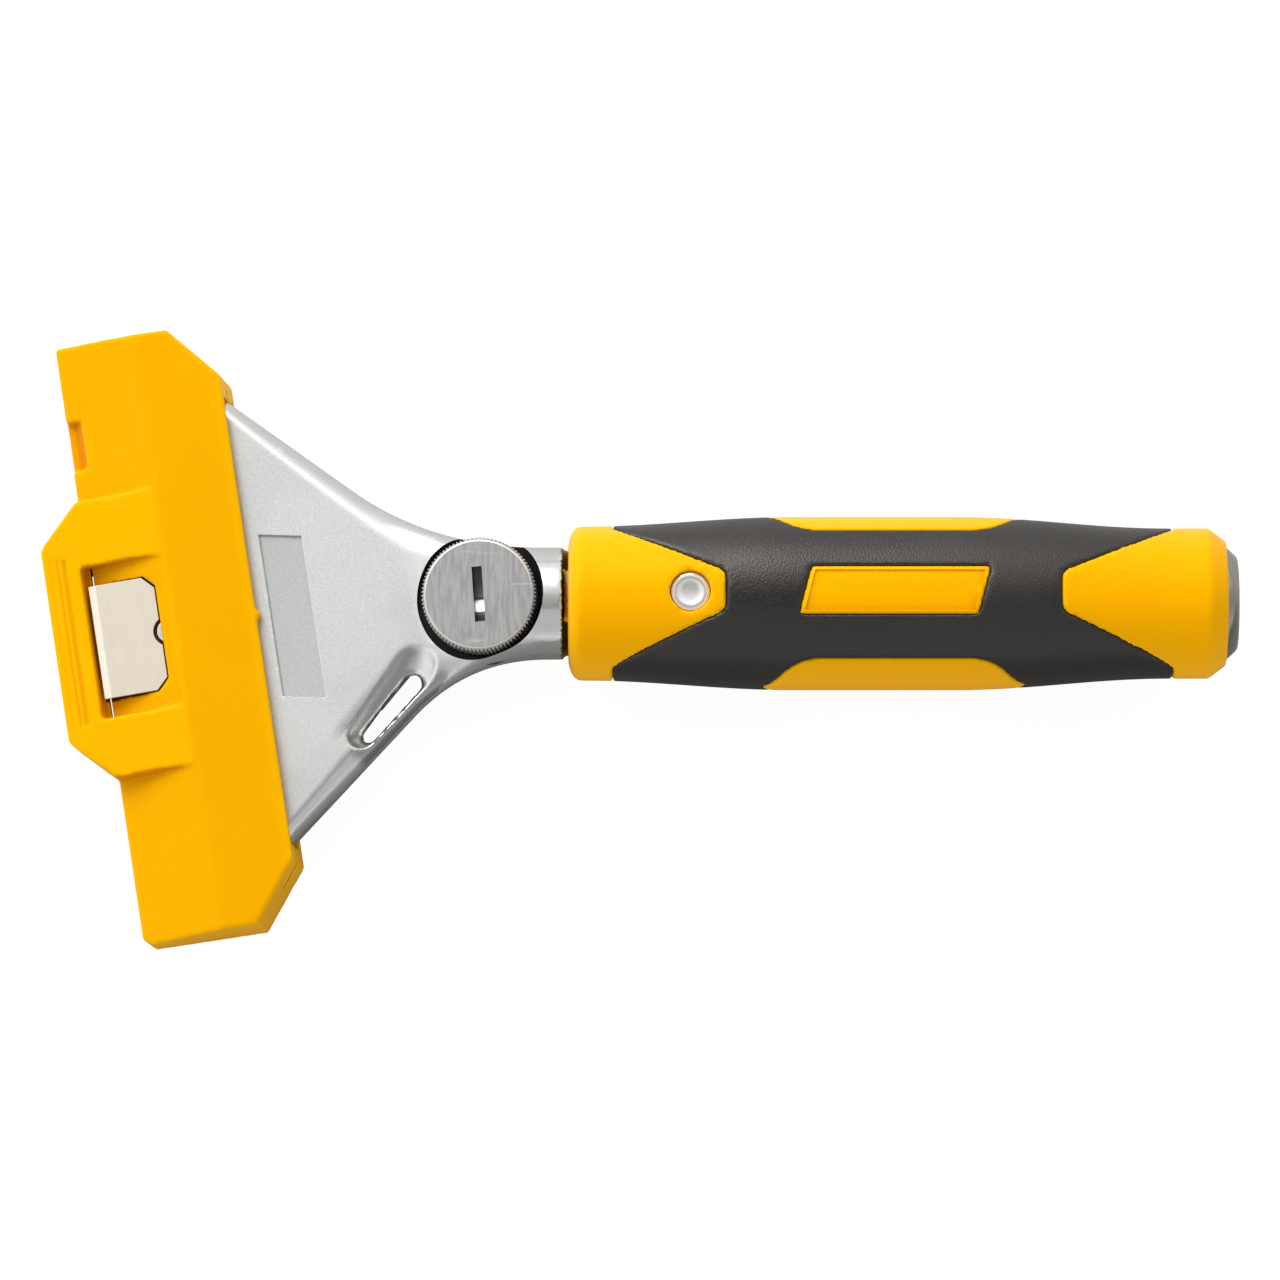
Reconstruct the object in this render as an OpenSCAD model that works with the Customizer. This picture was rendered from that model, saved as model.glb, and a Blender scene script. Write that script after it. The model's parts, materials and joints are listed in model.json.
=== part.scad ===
// Hand scraper with a skewed clamp head, a pull-off blade guard and a striking cap.
// The handle runs along +X, the blade faces -X, and the tool lies on the plane z = 0.

/* [Handle] */
// Length of the handle body
handle_l = 123; // [116:1:132]
// Diameter of the belly
handle_d = 32.4; // [31.4:0.2:34]
// Diameter at the front end
front_d = 28.8; // [27.6:0.2:30]
// Diameter at the rear end
rear_d = 28.1; // [27:0.2:30]
// Radius of the rounded front edge
front_round = 3; // [1.5:0.5:4]
// Length of the rear chamfer
rear_chamfer = 4; // [2:0.5:5]
// Diameter of the rear face
rear_face_d = 23; // [22.4:0.2:25]
// Length over which the front swells to the belly
front_swell = 40; // [34:1:44]
// Straight length of the belly
belly_l = 30; // [24:1:34]
// Length over which the rear narrows
rear_swell = 40; // [34:1:42]
// Thickness of the soft grip
grip_t = 2.2; // [1.6:0.1:2.8]

/* [Grip pattern] */
// Handle front to the front edge of the grip
grip_front = 8.4; // [7:0.2:10]
// Rear edge of the grip to the handle rear
grip_rear = 10.2; // [8:0.2:12]
// Length of the tongues
tongue_l = 21; // [17:0.5:23]
// Width of a tongue at its root
tongue_root_w = 26.4; // [24:0.2:27]
// Width of a tongue at its tip
tongue_tip_w = 7.6; // [7:0.2:10]
// Corner radius at the tip of a tongue
tongue_round = 2.8; // [1:0.1:3.2]
// Handle front to the middle of the panel
panel_at = 60.8; // [58:0.2:64]
// Length of the oblong panel
panel_l = 33.3; // [28:0.1:36]
// Width of the oblong panel
panel_w = 9.4; // [8:0.2:11]
// Lean of the panel's ends
panel_lean = 2.4; // [0.5:0.1:3]
// Width of the panel's raised border
panel_rim = 0.9; // [0.6:0.1:1.4]
// Depth of the panel inside its border
panel_sunk = 0.3; // [0.2:0.1:0.6]
// Length of a side strip from point to point
strip_l = 49.5; // [46:0.5:51]
// Length of a side strip along its straight edges
strip_flat_l = 37.5; // [32:0.5:38]
// Height of a side strip
strip_h = 21; // [18:0.2:22]
// Corner radius of a side strip
strip_round = 8; // [3:0.5:8]

/* [Rivet, rod and cap] */
// Handle front to the rivet
rivet_at = 22.8; // [20:0.2:25]
// Diameter of the rivet heads
rivet_d = 7.3; // [6.4:0.1:8]
// Depth of the rivet heads under the belly of the tongue
rivet_sunk = 1.4; // [0.8:0.1:2]
// Thickness of the rivet heads
rivet_head_t = 1.6; // [1.2:0.1:2]
// Outer diameter of the rivet's tube
rivet_tube_d = 5; // [4.4:0.1:5.4]
// Diameter of the rivet's inner post
rivet_post_d = 3.2; // [2.6:0.1:3.6]
// Depth of the dish in the rivet heads
rivet_dish = 0.3; // [0.2:0.1:0.6]
// Diameter of the core rod
rod_d = 9; // [8:0.2:10]
// Reach of the rod into the head's neck
rod_in_neck = 1; // [0.6:0.1:1.4]
// Depth of the rod in the striking cap
rod_in_cap = 12; // [9:0.5:14]
// Diameter of the striking cap
cap_d = 21; // [19.6:0.2:22]
// Diameter of the striking face
cap_face_d = 17.4; // [15:0.2:18.4]
// Height of the cap above the handle's rear face
cap_out = 2.2; // [1.6:0.1:3]
// Depth of the cap's flange in the handle
cap_in = 5; // [4:0.5:7]
// Diameter of the cap's stem
cap_stem_d = 14; // [12.4:0.2:15]
// Length of the cap's stem
cap_stem_l = 16; // [14.6:0.2:20]
// Thickness of the washer under the cap
cap_washer_t = 1; // [0.6:0.1:1.6]

/* [Neck and head] */
// Diameter of the neck
neck_d = 21; // [20.4:0.2:22]
// Knob axis to the neck's rear face
neck_l = 14.5; // [14.4:0.1:17]
// Gap between the neck and the handle
neck_gap = 0.9; // [0.5:0.1:1.5]
// Diameter of the spigot
spigot_d = 19.6; // [18.4:0.2:20]
// Width across the spigot's flats
spigot_flat = 16.4; // [14.6:0.2:17]
// Length of the spigot
spigot_l = 31; // [29:0.5:34]
// Turn of the blade against the handle, in degrees
head_skew = 8.8; // [6:0.2:11]
// Fall of the head against the handle, in degrees
head_pitch = 6.5; // [6:0.1:6.8]
// Sideways offset of the knob from the handle's axis
head_shift = 0.7; // [0:0.1:1.4]
// Height of the handle's axis over the blade plane at the knob
head_drop = 3.2; // [3:0.1:3.4]
// Height of the head's flat over the blade plane
head_top = 5.2; // [4.8:0.1:5.4]
// Width of the jaws
jaw_w = 85; // [80:0.5:88]
// Knob axis to the front of the jaws
jaw_reach = 64.5; // [62:0.1:66]
// Length of the slope at the front of the upper jaw
jaw_slope_l = 12; // [9:0.5:13]
// Height of the upper jaw's lip over the blade plane
jaw_lip = 1.6; // [1.3:0.1:2]
// Front of the jaws to where the fan reaches their width
fan_back = 22.2; // [21:0.1:24]
// Offset of the blade's middle from the knob, along the blade
blade_shift = 3.4; // [1:0.2:5]
// Radius of the sweep from the neck to the far end of the jaws
long_sweep = 58; // [52:1:62]
// Radius of the sweep from the neck to the near end of the jaws
short_sweep = 34; // [30:1:38]
// Knob axis to the start of the long sweep
long_start = 9; // [6:0.2:10]
// Knob axis to the start of the short sweep
short_start = 11.6; // [10:0.1:12.5]
// Width of the rounded rim where the sweeps end
rim_mid_w = 6.6; // [5:0.2:8]
// Width of the rounded rim at the jaws
rim_jaw_w = 3.6; // [2.6:0.2:4.6]
// Length of the sunk panel in the head
sunk_l = 31; // [26:0.5:34]
// Width of the sunk panel in the head
sunk_w = 7.9; // [6:0.1:9]
// Depth of the sunk panel in the head
sunk_depth = 0.5; // [0.3:0.1:0.8]
// Gap between the sunk panel and the guard
sunk_gap = 2.5; // [2:0.1:5]
// Offset of the sunk panel along the blade
sunk_shift = -0.5; // [-2:0.1:3]
// Lean of the sunk panel's ends
sunk_lean = 1.6; // [0:0.1:2.4]
// Length of the hanging slot
slot_l = 16; // [14:0.5:17]
// Width of the hanging slot at its wide end
slot_w = 3.8; // [3.4:0.1:4]
// Width of the hanging slot at its narrow end
slot_tip_w = 2.7; // [2.2:0.1:3.2]
// Length of the dish around the hanging slot
dish_l = 23.2; // [21:0.2:24]
// Width of that dish at its wide end
dish_w = 8.5; // [8:0.1:9]
// Width of that dish at its narrow end
dish_tip_w = 5; // [4.4:0.1:5.6]
// Offset of that dish towards the flat
dish_shift = 0.8; // [0.4:0.1:1.2]
// Offset of that dish along the slot
dish_ahead = 0.8; // [0:0.1:1.2]
// Depth of the dish around the hanging slot
dish_depth = 2.2; // [1.6:0.1:2.4]
// Thickness of the web around the hanging slot
slot_web = 1.2; // [1:0.1:1.6]
// Width of the pocket under that web, beside the slot
slot_pocket = 1; // [0.6:0.1:1.1]
// Middle of the hanging slot, from the knob axis against the handle's direction
slot_x = 17.6; // [16:0.1:19]
// Middle of the hanging slot, sideways from the handle's axis
slot_y = 20.4; // [19:0.1:20.6]
// Turn of the hanging slot, in degrees
slot_turn = 50; // [46:1:54]

/* [Clamp] */
// Diameter of the knob over its knurl
knob_d = 21.6; // [20:0.2:22]
// Height of the knob
knob_h = 6.4; // [5:0.1:7]
// Width of the bevel around the knob's top
knob_bevel = 0.5; // [0.4:0.1:1.2]
// Ledge between the knurl and that bevel
knob_ledge = 0.1; // [0.1:0.1:0.4]
// Number of knurl teeth
knurl_n = 90; // [60:1:96]
// Depth of the knurl
knurl_depth = 0.35; // [0.3:0.05:0.5]
// Length of the coin slot
coin_l = 10.4; // [8:0.2:12]
// Width of the coin slot
coin_w = 1.9; // [1.6:0.1:2.4]
// Depth of the coin slot
coin_depth = 2; // [1.4:0.1:2.6]
// Turn of the coin slot against the blade, in degrees
coin_turn = -5; // [-45:1:45]
// Diameter of the knob's recess
recess_d = 24.4; // [23.6:0.1:24.6]
// Height of the recess floor over the blade plane
recess_floor = 4; // [3.8:0.1:4.4]
// Thickness of the knob's washer
washer_t = 0.8; // [0.6:0.1:1.2]
// Diameter of the clamp stud
stud_d = 8; // [7:0.2:8.4]
// Reach of the stud under the clamp nut
stud_out = 0.5; // [0.2:0.1:1]
// Thread pitch of the stud
stud_pitch = 1.25; // [1:0.05:1.5]
// Turns of the knob from shut to open
open_turns = 1.5; // [1:0.1:1.5]
// Thickness of the casting's web under the recess
web_t = 3; // [2.6:0.1:3.2]
// Diameter of the pocket under the web
web_pocket_d = 14; // [13.2:0.1:14.6]
// Diameter of the retaining ring
ring_d = 12.4; // [11.4:0.1:12.6]
// Thickness of the retaining ring
ring_t = 0.9; // [0.7:0.1:1]
// Depth of the ring's groove in the stud
ring_groove = 0.6; // [0.4:0.1:0.8]
// Thickness of the clamp plate
plate_t = 2.8; // [2.4:0.1:2.9]
// Thickness of the clamp plate's lip
plate_lip_t = 1.2; // [1:0.1:1.5]
// Length of the slope under the clamp plate's lip
plate_slope_l = 8; // [7:0.5:10]
// Half width of the clamp plate's web at the blade
plate_web_half = 29; // [26:0.5:30]
// Radius of the clamp plate's nose
plate_nose_r = 8.6; // [8.3:0.1:8.8]
// Diameter of the clamp nut's body
nut_d = 12; // [11:0.2:12.6]
// Length of the clamp nut
nut_l = 7; // [6:0.2:7.4]
// Diameter of the clamp nut's flange
nut_flange_d = 15.2; // [14.4:0.2:15.6]
// Thickness of the clamp nut's flange
nut_flange_t = 1.2; // [0.8:0.1:1.6]

/* [Blade] */
// Length of the blade
blade_l = 100; // [96:0.5:101]
// Width of the blade
blade_w = 22; // [21:0.5:22.5]
// Thickness of the blade
blade_t = 0.8; // [0.6:0.05:0.9]
// Reach of the blade in front of the jaws
blade_out = 6.5; // [5:0.5:7.5]
// Width of the blade's ground bevel
blade_bevel = 2; // [1.2:0.1:3]
// Diameter of the locating pins
pin_d = 4; // [3.4:0.1:4.4]
// Spacing of the locating pins
pin_gap = 46; // [40:1:50]
// Depth of the blade's notches
notch_l = 5; // [4.4:0.1:5.6]
// Depth of the locating pins in the casting
pin_in = 2.6; // [2:0.1:2.8]

/* [Guard] */
// Length of the guard
guard_l = 114; // [111:0.5:118]
// Depth of the guard from front to back
guard_depth = 30.7; // [30:0.1:33]
// Wall in front of the blade's edge
guard_wall = 1.5; // [1.2:0.1:2]
// Gap between the blade's edge and that wall
edge_gap = 0.5; // [0.4:0.1:0.8]
// Gap around the jaws and the blade's faces
guard_gap = 0.4; // [0.3:0.05:0.5]
// Height of the guard's flat band over the blade plane
band_top = 7.5; // [7.2:0.1:8.4]
// Height of the guard's front edge over the blade plane
front_top = 3; // [2.7:0.1:3.6]
// Front edge to the crease where the band starts
crease_back = 15.5; // [14:0.1:16]
// Reach of the guard's far front corner past its far rear one
far_out = 0.8; // [0:0.1:1.2]
// Cut of the guard's far rear corner, along the end
far_cut_x = 8.8; // [7:0.2:9.6]
// Cut of the guard's far rear corner, along the rear edge
far_cut_y = 10.2; // [8:0.2:11.4]
// Cut of the guard's near rear corner, along the end
near_cut_x = 8.4; // [7:0.2:9.4]
// Cut of the guard's near rear corner, along the rear edge
near_cut_y = 11; // [9:0.2:11.4]
// Cut of the guard's near front corner
front_cut = 1.3; // [1:0.1:2.4]
// Length of the hump along the front edge
hump_l = 53; // [48:0.5:56]
// Length of the hump's front face
hump_face_l = 37; // [34:0.5:40]
// Reach of the hump in front of the guard
hump_out = 7.9; // [7.6:0.1:9]
// Offset of the hump from the guard's middle
hump_shift = 0.6; // [0:0.2:3]
// Offset of the hump's outline from its window
hump_slip = 0.6; // [0:0.1:1]
// Height of the hump's front over the blade plane
hump_front_top = 6.4; // [6.2:0.1:7]
// Corner radius of the hump
hump_corner = 2.4; // [1.4:0.1:3]
// Length of the window
window_l = 28.9; // [26:0.1:31]
// Reach of the window in front of the guard
window_out = 0.9; // [0.8:0.1:1.4]
// Width of the slit at the foot of the window
slit_w = 0.3; // [0.2:0.1:0.5]
// Number of grip grooves on the hump
groove_n = 3; // [2:1:4]
// Width of a grip groove
groove_w = 0.7; // [0.5:0.1:0.8]
// Depth of a grip groove
groove_depth = 0.35; // [0.2:0.05:0.5]
// Spacing of the grip grooves
groove_gap = 1.25; // [1.1:0.05:1.4]
// Guard's far end to the front notch
front_notch_at = 13.6; // [12:0.2:15]
// Length of the front notch
front_notch_l = 9.4; // [8:0.2:10]
// Depth of the front notch
front_notch_w = 3.2; // [2.6:0.1:4]
// Lean of the front notch's rear wall
front_notch_lean = 1.5; // [0.6:0.1:2]
// Thickness of the front notch's floor over the blade
front_notch_t = 0.8; // [0.6:0.1:1]
// Size of the latch nub on the guard's rear edge
nub = 0.7; // [0.5:0.1:1]

/* [Small blade] */
// Length of the small blade
mini_l = 21.5; // [20:0.5:23]
// Width of the small blade
mini_w = 12.3; // [11.6:0.1:12.8]
// Thickness of the small blade
mini_t = 0.6; // [0.4:0.05:0.7]
// Height of the small blade's face over the blade plane
mini_top = 6; // [5.8:0.1:6.1]
// Corner cut of the small blade
mini_cut = 2.2; // [1.8:0.1:3]
// Width of the small blade's ground bevel
mini_bevel = 1.2; // [0.8:0.1:1.6]
// Radius of the small blade's notch
mini_notch_r = 2.8; // [2.6:0.1:3]
// Middle of that notch behind the small blade's rear edge
mini_notch_out = 1.4; // [1:0.1:1.6]
// Diameter of the peg in that notch
peg_d = 4.2; // [3.8:0.1:4.4]
// Depth of the peg in the guard
peg_in = 1; // [0.8:0.1:1.2]
// Depth of the peg's head under the small blade's face
peg_low = 0.2; // [0.1:0.05:0.3]

/* [Fits] */
// Gap around the small blade's seat
mini_gap = 0.3; // [0.2:0.05:0.4]
// Gap between moving parts and what they pass
move_gap = 0.4; // [0.3:0.05:0.5]
// Radial running clearance of the stud
run_gap = 0.06; // [0.04:0.01:0.1]
// Gap around fixed pieces in the handle
fixed_gap = 0.05; // [0.02:0.01:0.1]

/* [Hidden] */
$fn = 64;

// Cuts reach this far past what they cut
past = 1;
// Longer than any cut through the tool
through = 200;
// Steps of a swept curve
sweep_steps = 8;
// Steps of the head's straight sides
side_steps = 4;
// Steps of a rounded rim's quarter
rim_steps = 6;
// Steps of the handle's swelling
swell_steps = 10;
// Steps of a rounded corner
corner_steps = 6;
// Steps of the hanging slot's round ends
end_steps = 14;
// Half width left between two rims
rim_left = 0.1;
// Part of a sweep after which the head is flat
flat_from = 0.8;

neck_r = neck_d / 2;
handle_r = handle_d / 2;
handle_x = neck_l + neck_gap;
handle_end = handle_x + handle_l;
cap_end = handle_end + cap_out;
cap_seat = handle_end - cap_in;
stem_front = cap_seat - cap_stem_l;
rod_front = neck_l - rod_in_neck;
rod_end = stem_front + rod_in_cap;
rivet_x = handle_x + rivet_at;
rivet_top = handle_radius(rivet_x) - rivet_sunk;
grip_x0 = handle_x + grip_front;
grip_x1 = handle_end - grip_rear;
panel_x = handle_x + panel_at;

seat = blade_t / 2;
plate_bottom = seat + plate_t;
clamp_travel = stud_pitch * open_turns;
jaw_far = blade_shift + jaw_w / 2;
jaw_near = blade_shift - jaw_w / 2;
blade_edge = -jaw_reach - blade_out;
blade_back = blade_edge + blade_w;
notch_x = blade_back - notch_l + pin_d / 2 + move_gap;
guard_x0 = blade_edge - edge_gap - guard_wall;
guard_x1 = guard_x0 + guard_depth;
crease_x = guard_x0 + crease_back;
guard_far = blade_shift + guard_l / 2;
guard_near = blade_shift - guard_l / 2;
hump_x = guard_x0 - hump_out;
hump_y = blade_shift + hump_shift;
window_x = guard_x0 - window_out;
bar_w = hump_out - window_out;
slit_x = guard_x0 - slit_w;
mini_x1 = guard_x0 + mini_w;
mini_bottom = mini_top - mini_t;
knob_under = recess_floor + washer_t;
knob_top = knob_under + knob_h;
knob_flat_d = knob_d - 2 * (knurl_depth + knob_ledge + knob_bevel);
web_under = recess_floor - web_t;
ring_under = web_under - ring_t;
room_top = head_top + guard_gap;
stud_end = -seat - nut_l - stud_out;

// Straight line between two values
function mix(a, b, t) = a + (b - a) * t;

// Smooth step from 0 to 1
function ease(t) = (1 - cos(180 * min(1, max(0, t)))) / 2;

// Radius of the handle at a place on its axis
function handle_radius(x) =
    let (from = x - handle_x - front_round, to = from - front_swell - belly_l)
    mix(mix(front_d, handle_d, ease(from / front_swell)), rear_d, ease(to / rear_swell)) / 2;

// Head point, along and over the blade plane, as a point of the tool
function head_point(x, y, c) =
    let (u = x * cos(head_pitch) - c * sin(head_pitch), w = x * sin(head_pitch) + c * cos(head_pitch))
    [u * cos(head_skew) - y * sin(head_skew),
        u * sin(head_skew) + y * cos(head_skew) + head_shift,
        w - head_drop];

// Turn of a plan point between the handle's direction and the blade's
function turned(p, a) = [p[0] * cos(a) - p[1] * sin(a), p[0] * sin(a) + p[1] * cos(a)];

// Points of an arc
function arc(c, r, a0, a1, n = corner_steps) =
    [for (i = [0 : n]) let (a = mix(a0, a1, i / n)) c + r * [cos(a), sin(a)]];

// Outline with a wide round end ahead and a narrow one behind
function drop(l, wide, tip) =
    let (run = l - (wide + tip) / 2, a = acos((tip - wide) / 2 / run))
    concat(arc([run / 2, 0], wide / 2, -a, a, end_steps),
        arc([-run / 2, 0], tip / 2, a, 360 - a, end_steps));

// Outline with a radius at each corner
function rounded(p, r) =
    [for (i = [0 : len(p) - 1])
        let (n = len(p), back = p[(i + n - 1) % n] - p[i], ahead = p[(i + 1) % n] - p[i])
        each r[i] == 0 ? [p[i]] : round_corner(p[i], back / norm(back), ahead / norm(ahead), r[i])];
function round_corner(p, u, v, r) =
    let (half = acos(u * v) / 2,
        centre = p + (u + v) / norm(u + v) * r / sin(half),
        from = p + u * r / tan(half) - centre,
        start = atan2(from[1], from[0]))
    arc(centre, r, start, start + sign(cross(u, v)) * (2 * half - 180));

// Guard's upper and lower faces over the blade plane
function guard_top(x) = mix(band_top, front_top, max(0, crease_x - x) / crease_back);
function guard_under(x) = (head_drop - handle_r - x * sin(head_pitch)) / cos(head_pitch);
function hump_top(x) = mix(band_top, hump_front_top, max(0, crease_x - x) / (crease_x - hump_x));

// Plan of the guard and of its hump
guard_plan = [[guard_x0, guard_far + far_out], [guard_x0, guard_near + front_cut],
    [guard_x0 + front_cut, guard_near], [guard_x1 - near_cut_x, guard_near],
    [guard_x1, guard_near + near_cut_y],
    [guard_x1, guard_far - far_cut_y], [guard_x1 - far_cut_x, guard_far]];
hump_side = (hump_l - hump_face_l) / 2;
hump_turn = atan2(hump_out, hump_side);
hump_bend = hump_corner * tan(hump_turn / 2);
hump_half = concat([[crease_x, hump_l / 2], [guard_x0, hump_l / 2]],
    arc([hump_x + hump_corner, hump_face_l / 2 - hump_bend], hump_corner, 180 - hump_turn, 180));
hump_plan = [for (p = concat(hump_half, [for (i = [len(hump_half) - 1 : -1 : 0])
    [hump_half[i][0], -hump_half[i][1]]])) p + [0, hump_y + hump_slip]];

// Middle of the tool's plan
plan_points = concat(
    [for (p = guard_plan) head_point(p[0], p[1], guard_top(p[0]))],
    [for (p = guard_plan) head_point(p[0], p[1], guard_under(p[0]))],
    [for (p = hump_plan) head_point(p[0], p[1], hump_top(p[0]))]);
plan_x = [for (p = plan_points) p[0]];
plan_y = [for (p = plan_points) p[1]];
middle = [(min(plan_x) + cap_end) / 2, (min(plan_y) + max(plan_y)) / 2];

// Head sections: far edge, near edge, rim width, height above and below, share of the head's slope
function sweep_turn(p, start, r) =
    let (d = p - [start, neck_r + r], reach = sqrt(d * d - r * r))
    180 + atan2(r, reach) - atan2(d[1], d[0]) - (atan2(d[1], d[0]) < 0 ? 360 : 0);
function sweep_point(start, r, a) = [start - r * sin(a), neck_r + r * (1 - cos(a))];
function mirrored(p) = [p[0], -p[1]];
fan_far = turned([-jaw_reach + fan_back, jaw_far], head_skew);
fan_near = turned([-jaw_reach + fan_back, jaw_near], head_skew);
long_turn = sweep_turn(fan_far, long_start, long_sweep);
short_turn = sweep_turn(mirrored(fan_near), short_start, short_sweep);
function sweep_section(t) =
    let (flat = ease(t / flat_from))
    [sweep_point(long_start, long_sweep, long_turn * t),
        mirrored(sweep_point(short_start, short_sweep, short_turn * t)),
        mix(neck_r, rim_mid_w, t), mix(neck_r, head_top, flat), mix(neck_r, plate_bottom, flat), flat];
function side_section(t) =
    [mix(sweep_point(long_start, long_sweep, long_turn), fan_far, t),
        mix(mirrored(sweep_point(short_start, short_sweep, short_turn)), fan_near, t),
        mix(rim_mid_w, rim_jaw_w, t), head_top, plate_bottom, 1];
function jaw_section(x, top) =
    [turned([x, jaw_far], head_skew), turned([x, jaw_near], head_skew), rim_jaw_w, top, plate_bottom, 1];
sections = concat([[[neck_l, neck_r], [neck_l, -neck_r], neck_r, neck_r, neck_r, 0]],
    [for (i = [0 : sweep_steps]) sweep_section(i / sweep_steps)],
    [for (i = [1 : side_steps]) side_section(i / side_steps)],
    [jaw_section(-jaw_reach + jaw_slope_l, head_top), jaw_section(-jaw_reach, jaw_lip)]);

// One point of a section, by its edge, its way inwards and its height
head_up = head_point(0, 0, 1) - head_point(0, 0, 0);
function section_point(s, edge, way, in, height) =
    let (p = s[edge] + way * in, b = turned(p, -head_skew))
    mix([p[0], p[1], 0], head_point(b[0], b[1], 0), s[5]) + height * mix([0, 0, 1], head_up, s[5]);
function section_ring(s) =
    let (span = s[1] - s[0], way = span / norm(span), rim = min(s[2], norm(span) / 2 - rim_left),
        n = rim_steps, in = [for (i = [0 : n]) rim * (1 - cos(90 * i / n))],
        rise = [for (i = [0 : n]) sin(90 * i / n)])
    concat(
        [for (i = [0 : n]) section_point(s, 0, way, in[i], s[3] * rise[i])],
        [for (i = [n : -1 : 0]) section_point(s, 1, -way, in[i], s[3] * rise[i])],
        [for (i = [1 : n]) section_point(s, 1, -way, in[i], -s[4] * rise[i])],
        [for (i = [n : -1 : 1]) section_point(s, 0, way, in[i], -s[4] * rise[i])]);

// Places a child given along the head in the tool
module in_head() {
    translate([0, head_shift, -head_drop])
        rotate([0, -head_pitch, head_skew])
            children();
}

// Places a child given along the handle's axis in the tool
module in_tool() {
    translate([-middle[0], -middle[1], handle_r])
        children();
}

// Turns a body made round Z so that it lies along the handle
module along_handle() {
    rotate([0, 90, 0])
        children();
}

// Round bar along the handle
module bar(d, from, to) {
    translate([from, 0, 0])
        along_handle()
            cylinder(d = d, h = to - from);
}

// Extrudes a plan in the blade plane's direction between two heights
module slab(from, to) {
    translate([0, 0, from])
        linear_extrude(to - from)
            children();
}

// Extrudes a side outline, given along and over the blade plane, across the blade
module across(from, to) {
    translate([0, to, 0])
        rotate([90, 0, 0])
            linear_extrude(to - from)
                children();
}

// Round handle body, drawn in by a depth
module handle_form(inset, from, to) {
    swell = [for (i = [0 : swell_steps]) handle_x + front_round + front_swell * i / swell_steps];
    belly = handle_x + front_round + front_swell + belly_l;
    narrow = [for (i = [0 : swell_steps]) belly + rear_swell * i / swell_steps];
    inside = [for (x = concat(swell, narrow)) if (x > from && x < to) x];
    points = [for (x = concat([from], inside, [to])) [handle_radius(x) - inset, x]];
    along_handle()
        rotate_extrude()
            polygon(concat([[0, from]], points, [[0, to]]));
}

// Whole handle with its rounded front edge and rear chamfer
module handle_blank() {
    front_r = front_d / 2;
    chamfer_x = handle_end - rear_chamfer;
    edge = arc([front_r - front_round, handle_x + front_round], front_round, 270, 360);
    handle_form(0, handle_x + front_round, chamfer_x);
    along_handle()
        rotate_extrude()
            polygon(concat([[0, handle_x]], edge, [[0, handle_x + front_round]]));
    along_handle()
        rotate_extrude()
            polygon([[0, chamfer_x], [handle_radius(chamfer_x), chamfer_x],
                [rear_face_d / 2, handle_end], [0, handle_end]]);
}

// Tongue of the core seen from above, pointing along the handle from its root
module tongue(root) {
    half = tongue_tip_w / 2;
    far = tongue_root_w / 2;
    translate([root, 0])
        polygon(rounded([[0, far], [tongue_l, half], [tongue_l, -half], [0, -far]],
            [0, tongue_round, tongue_round, 0]));
}

// Oblong panel, drawn in by a border
module panel_plan(rim) {
    l = panel_l - 2 * rim;
    w = panel_w - 2 * rim;
    lean = panel_lean * w / panel_w;
    translate([panel_x, 0])
        polygon([[-l - lean, -w], [l - lean, -w], [l + lean, w], [-l + lean, w]] / 2);
}

// Places where the core comes through the grip
module grip_windows() {
    strip = rounded([[-strip_l / 2, 0], [-strip_flat_l / 2, strip_h / 2], [strip_flat_l / 2, strip_h / 2],
        [strip_l / 2, 0], [strip_flat_l / 2, -strip_h / 2], [-strip_flat_l / 2, -strip_h / 2]],
        [0, strip_round, strip_round, 0, strip_round, strip_round]);
    slab(-handle_d, handle_d) {
        tongue(grip_x0);
        translate([grip_x1, 0])
            mirror([1, 0])
                tongue(0);
        panel_plan(0);
    }
    across(-handle_d, handle_d)
        translate([panel_x, 0])
            polygon(strip);
}

// Room of the soft grip, reaching past the handle's surface by a height
module grip_form(over) {
    difference() {
        handle_form(-over, grip_x0, grip_x1);
        handle_form(grip_t, grip_x0 - past, grip_x1 + past);
        grip_windows();
    }
}

// Spigot with its two flats
module spigot_form(gap, to) {
    intersection() {
        bar(spigot_d + 2 * gap, neck_l - past, to);
        translate([neck_l - past, -spigot_d, -spigot_flat / 2 - gap])
            cube([through, 2 * spigot_d, spigot_flat + 2 * gap]);
    }
}

// Smooth head body from the neck to the jaws
module head_form() {
    rings = [for (s = sections) section_ring(s)];
    n = len(rings[0]);
    last = (len(rings) - 1) * n;
    sides = [for (r = [0 : len(rings) - 2], i = [0 : n - 1], half = [0, 1])
        let (a = r * n + i, b = r * n + (i + 1) % n)
        half == 0 ? [a, b, a + n] : [b, b + n, a + n]];
    polyhedron(points = [for (ring = rings, p = ring) p],
        faces = concat([[for (i = [n - 1 : -1 : 0]) i]], sides, [[for (i = [0 : n - 1]) last + i]]));
}

// Clamp plate between two heights, grown by a gap
module plate_form(gap, from, to) {
    bar_back = blade_back - move_gap + gap;
    slab(from, to)
        translate([-jaw_reach - gap, jaw_near - gap])
            square([bar_back + jaw_reach + gap, jaw_w + 2 * gap]);
    slab(from, to)
        circle(r = plate_nose_r + gap);
    slab(from, to)
        polygon([[bar_back - past, blade_shift + plate_web_half + gap], [0, plate_nose_r + gap],
            [0, -plate_nose_r - gap], [bar_back - past, blade_shift - plate_web_half - gap]]);
}

// Places a child along the hanging slot in the head
module at_slot() {
    rotate(-head_skew)
        translate([-slot_x, -slot_y])
            rotate(slot_turn)
                children();
}

// Places of the locating pins
module at_pins() {
    for (side = [-1, 1])
        translate([notch_x, blade_shift + side * pin_gap / 2])
            children();
}

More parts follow.
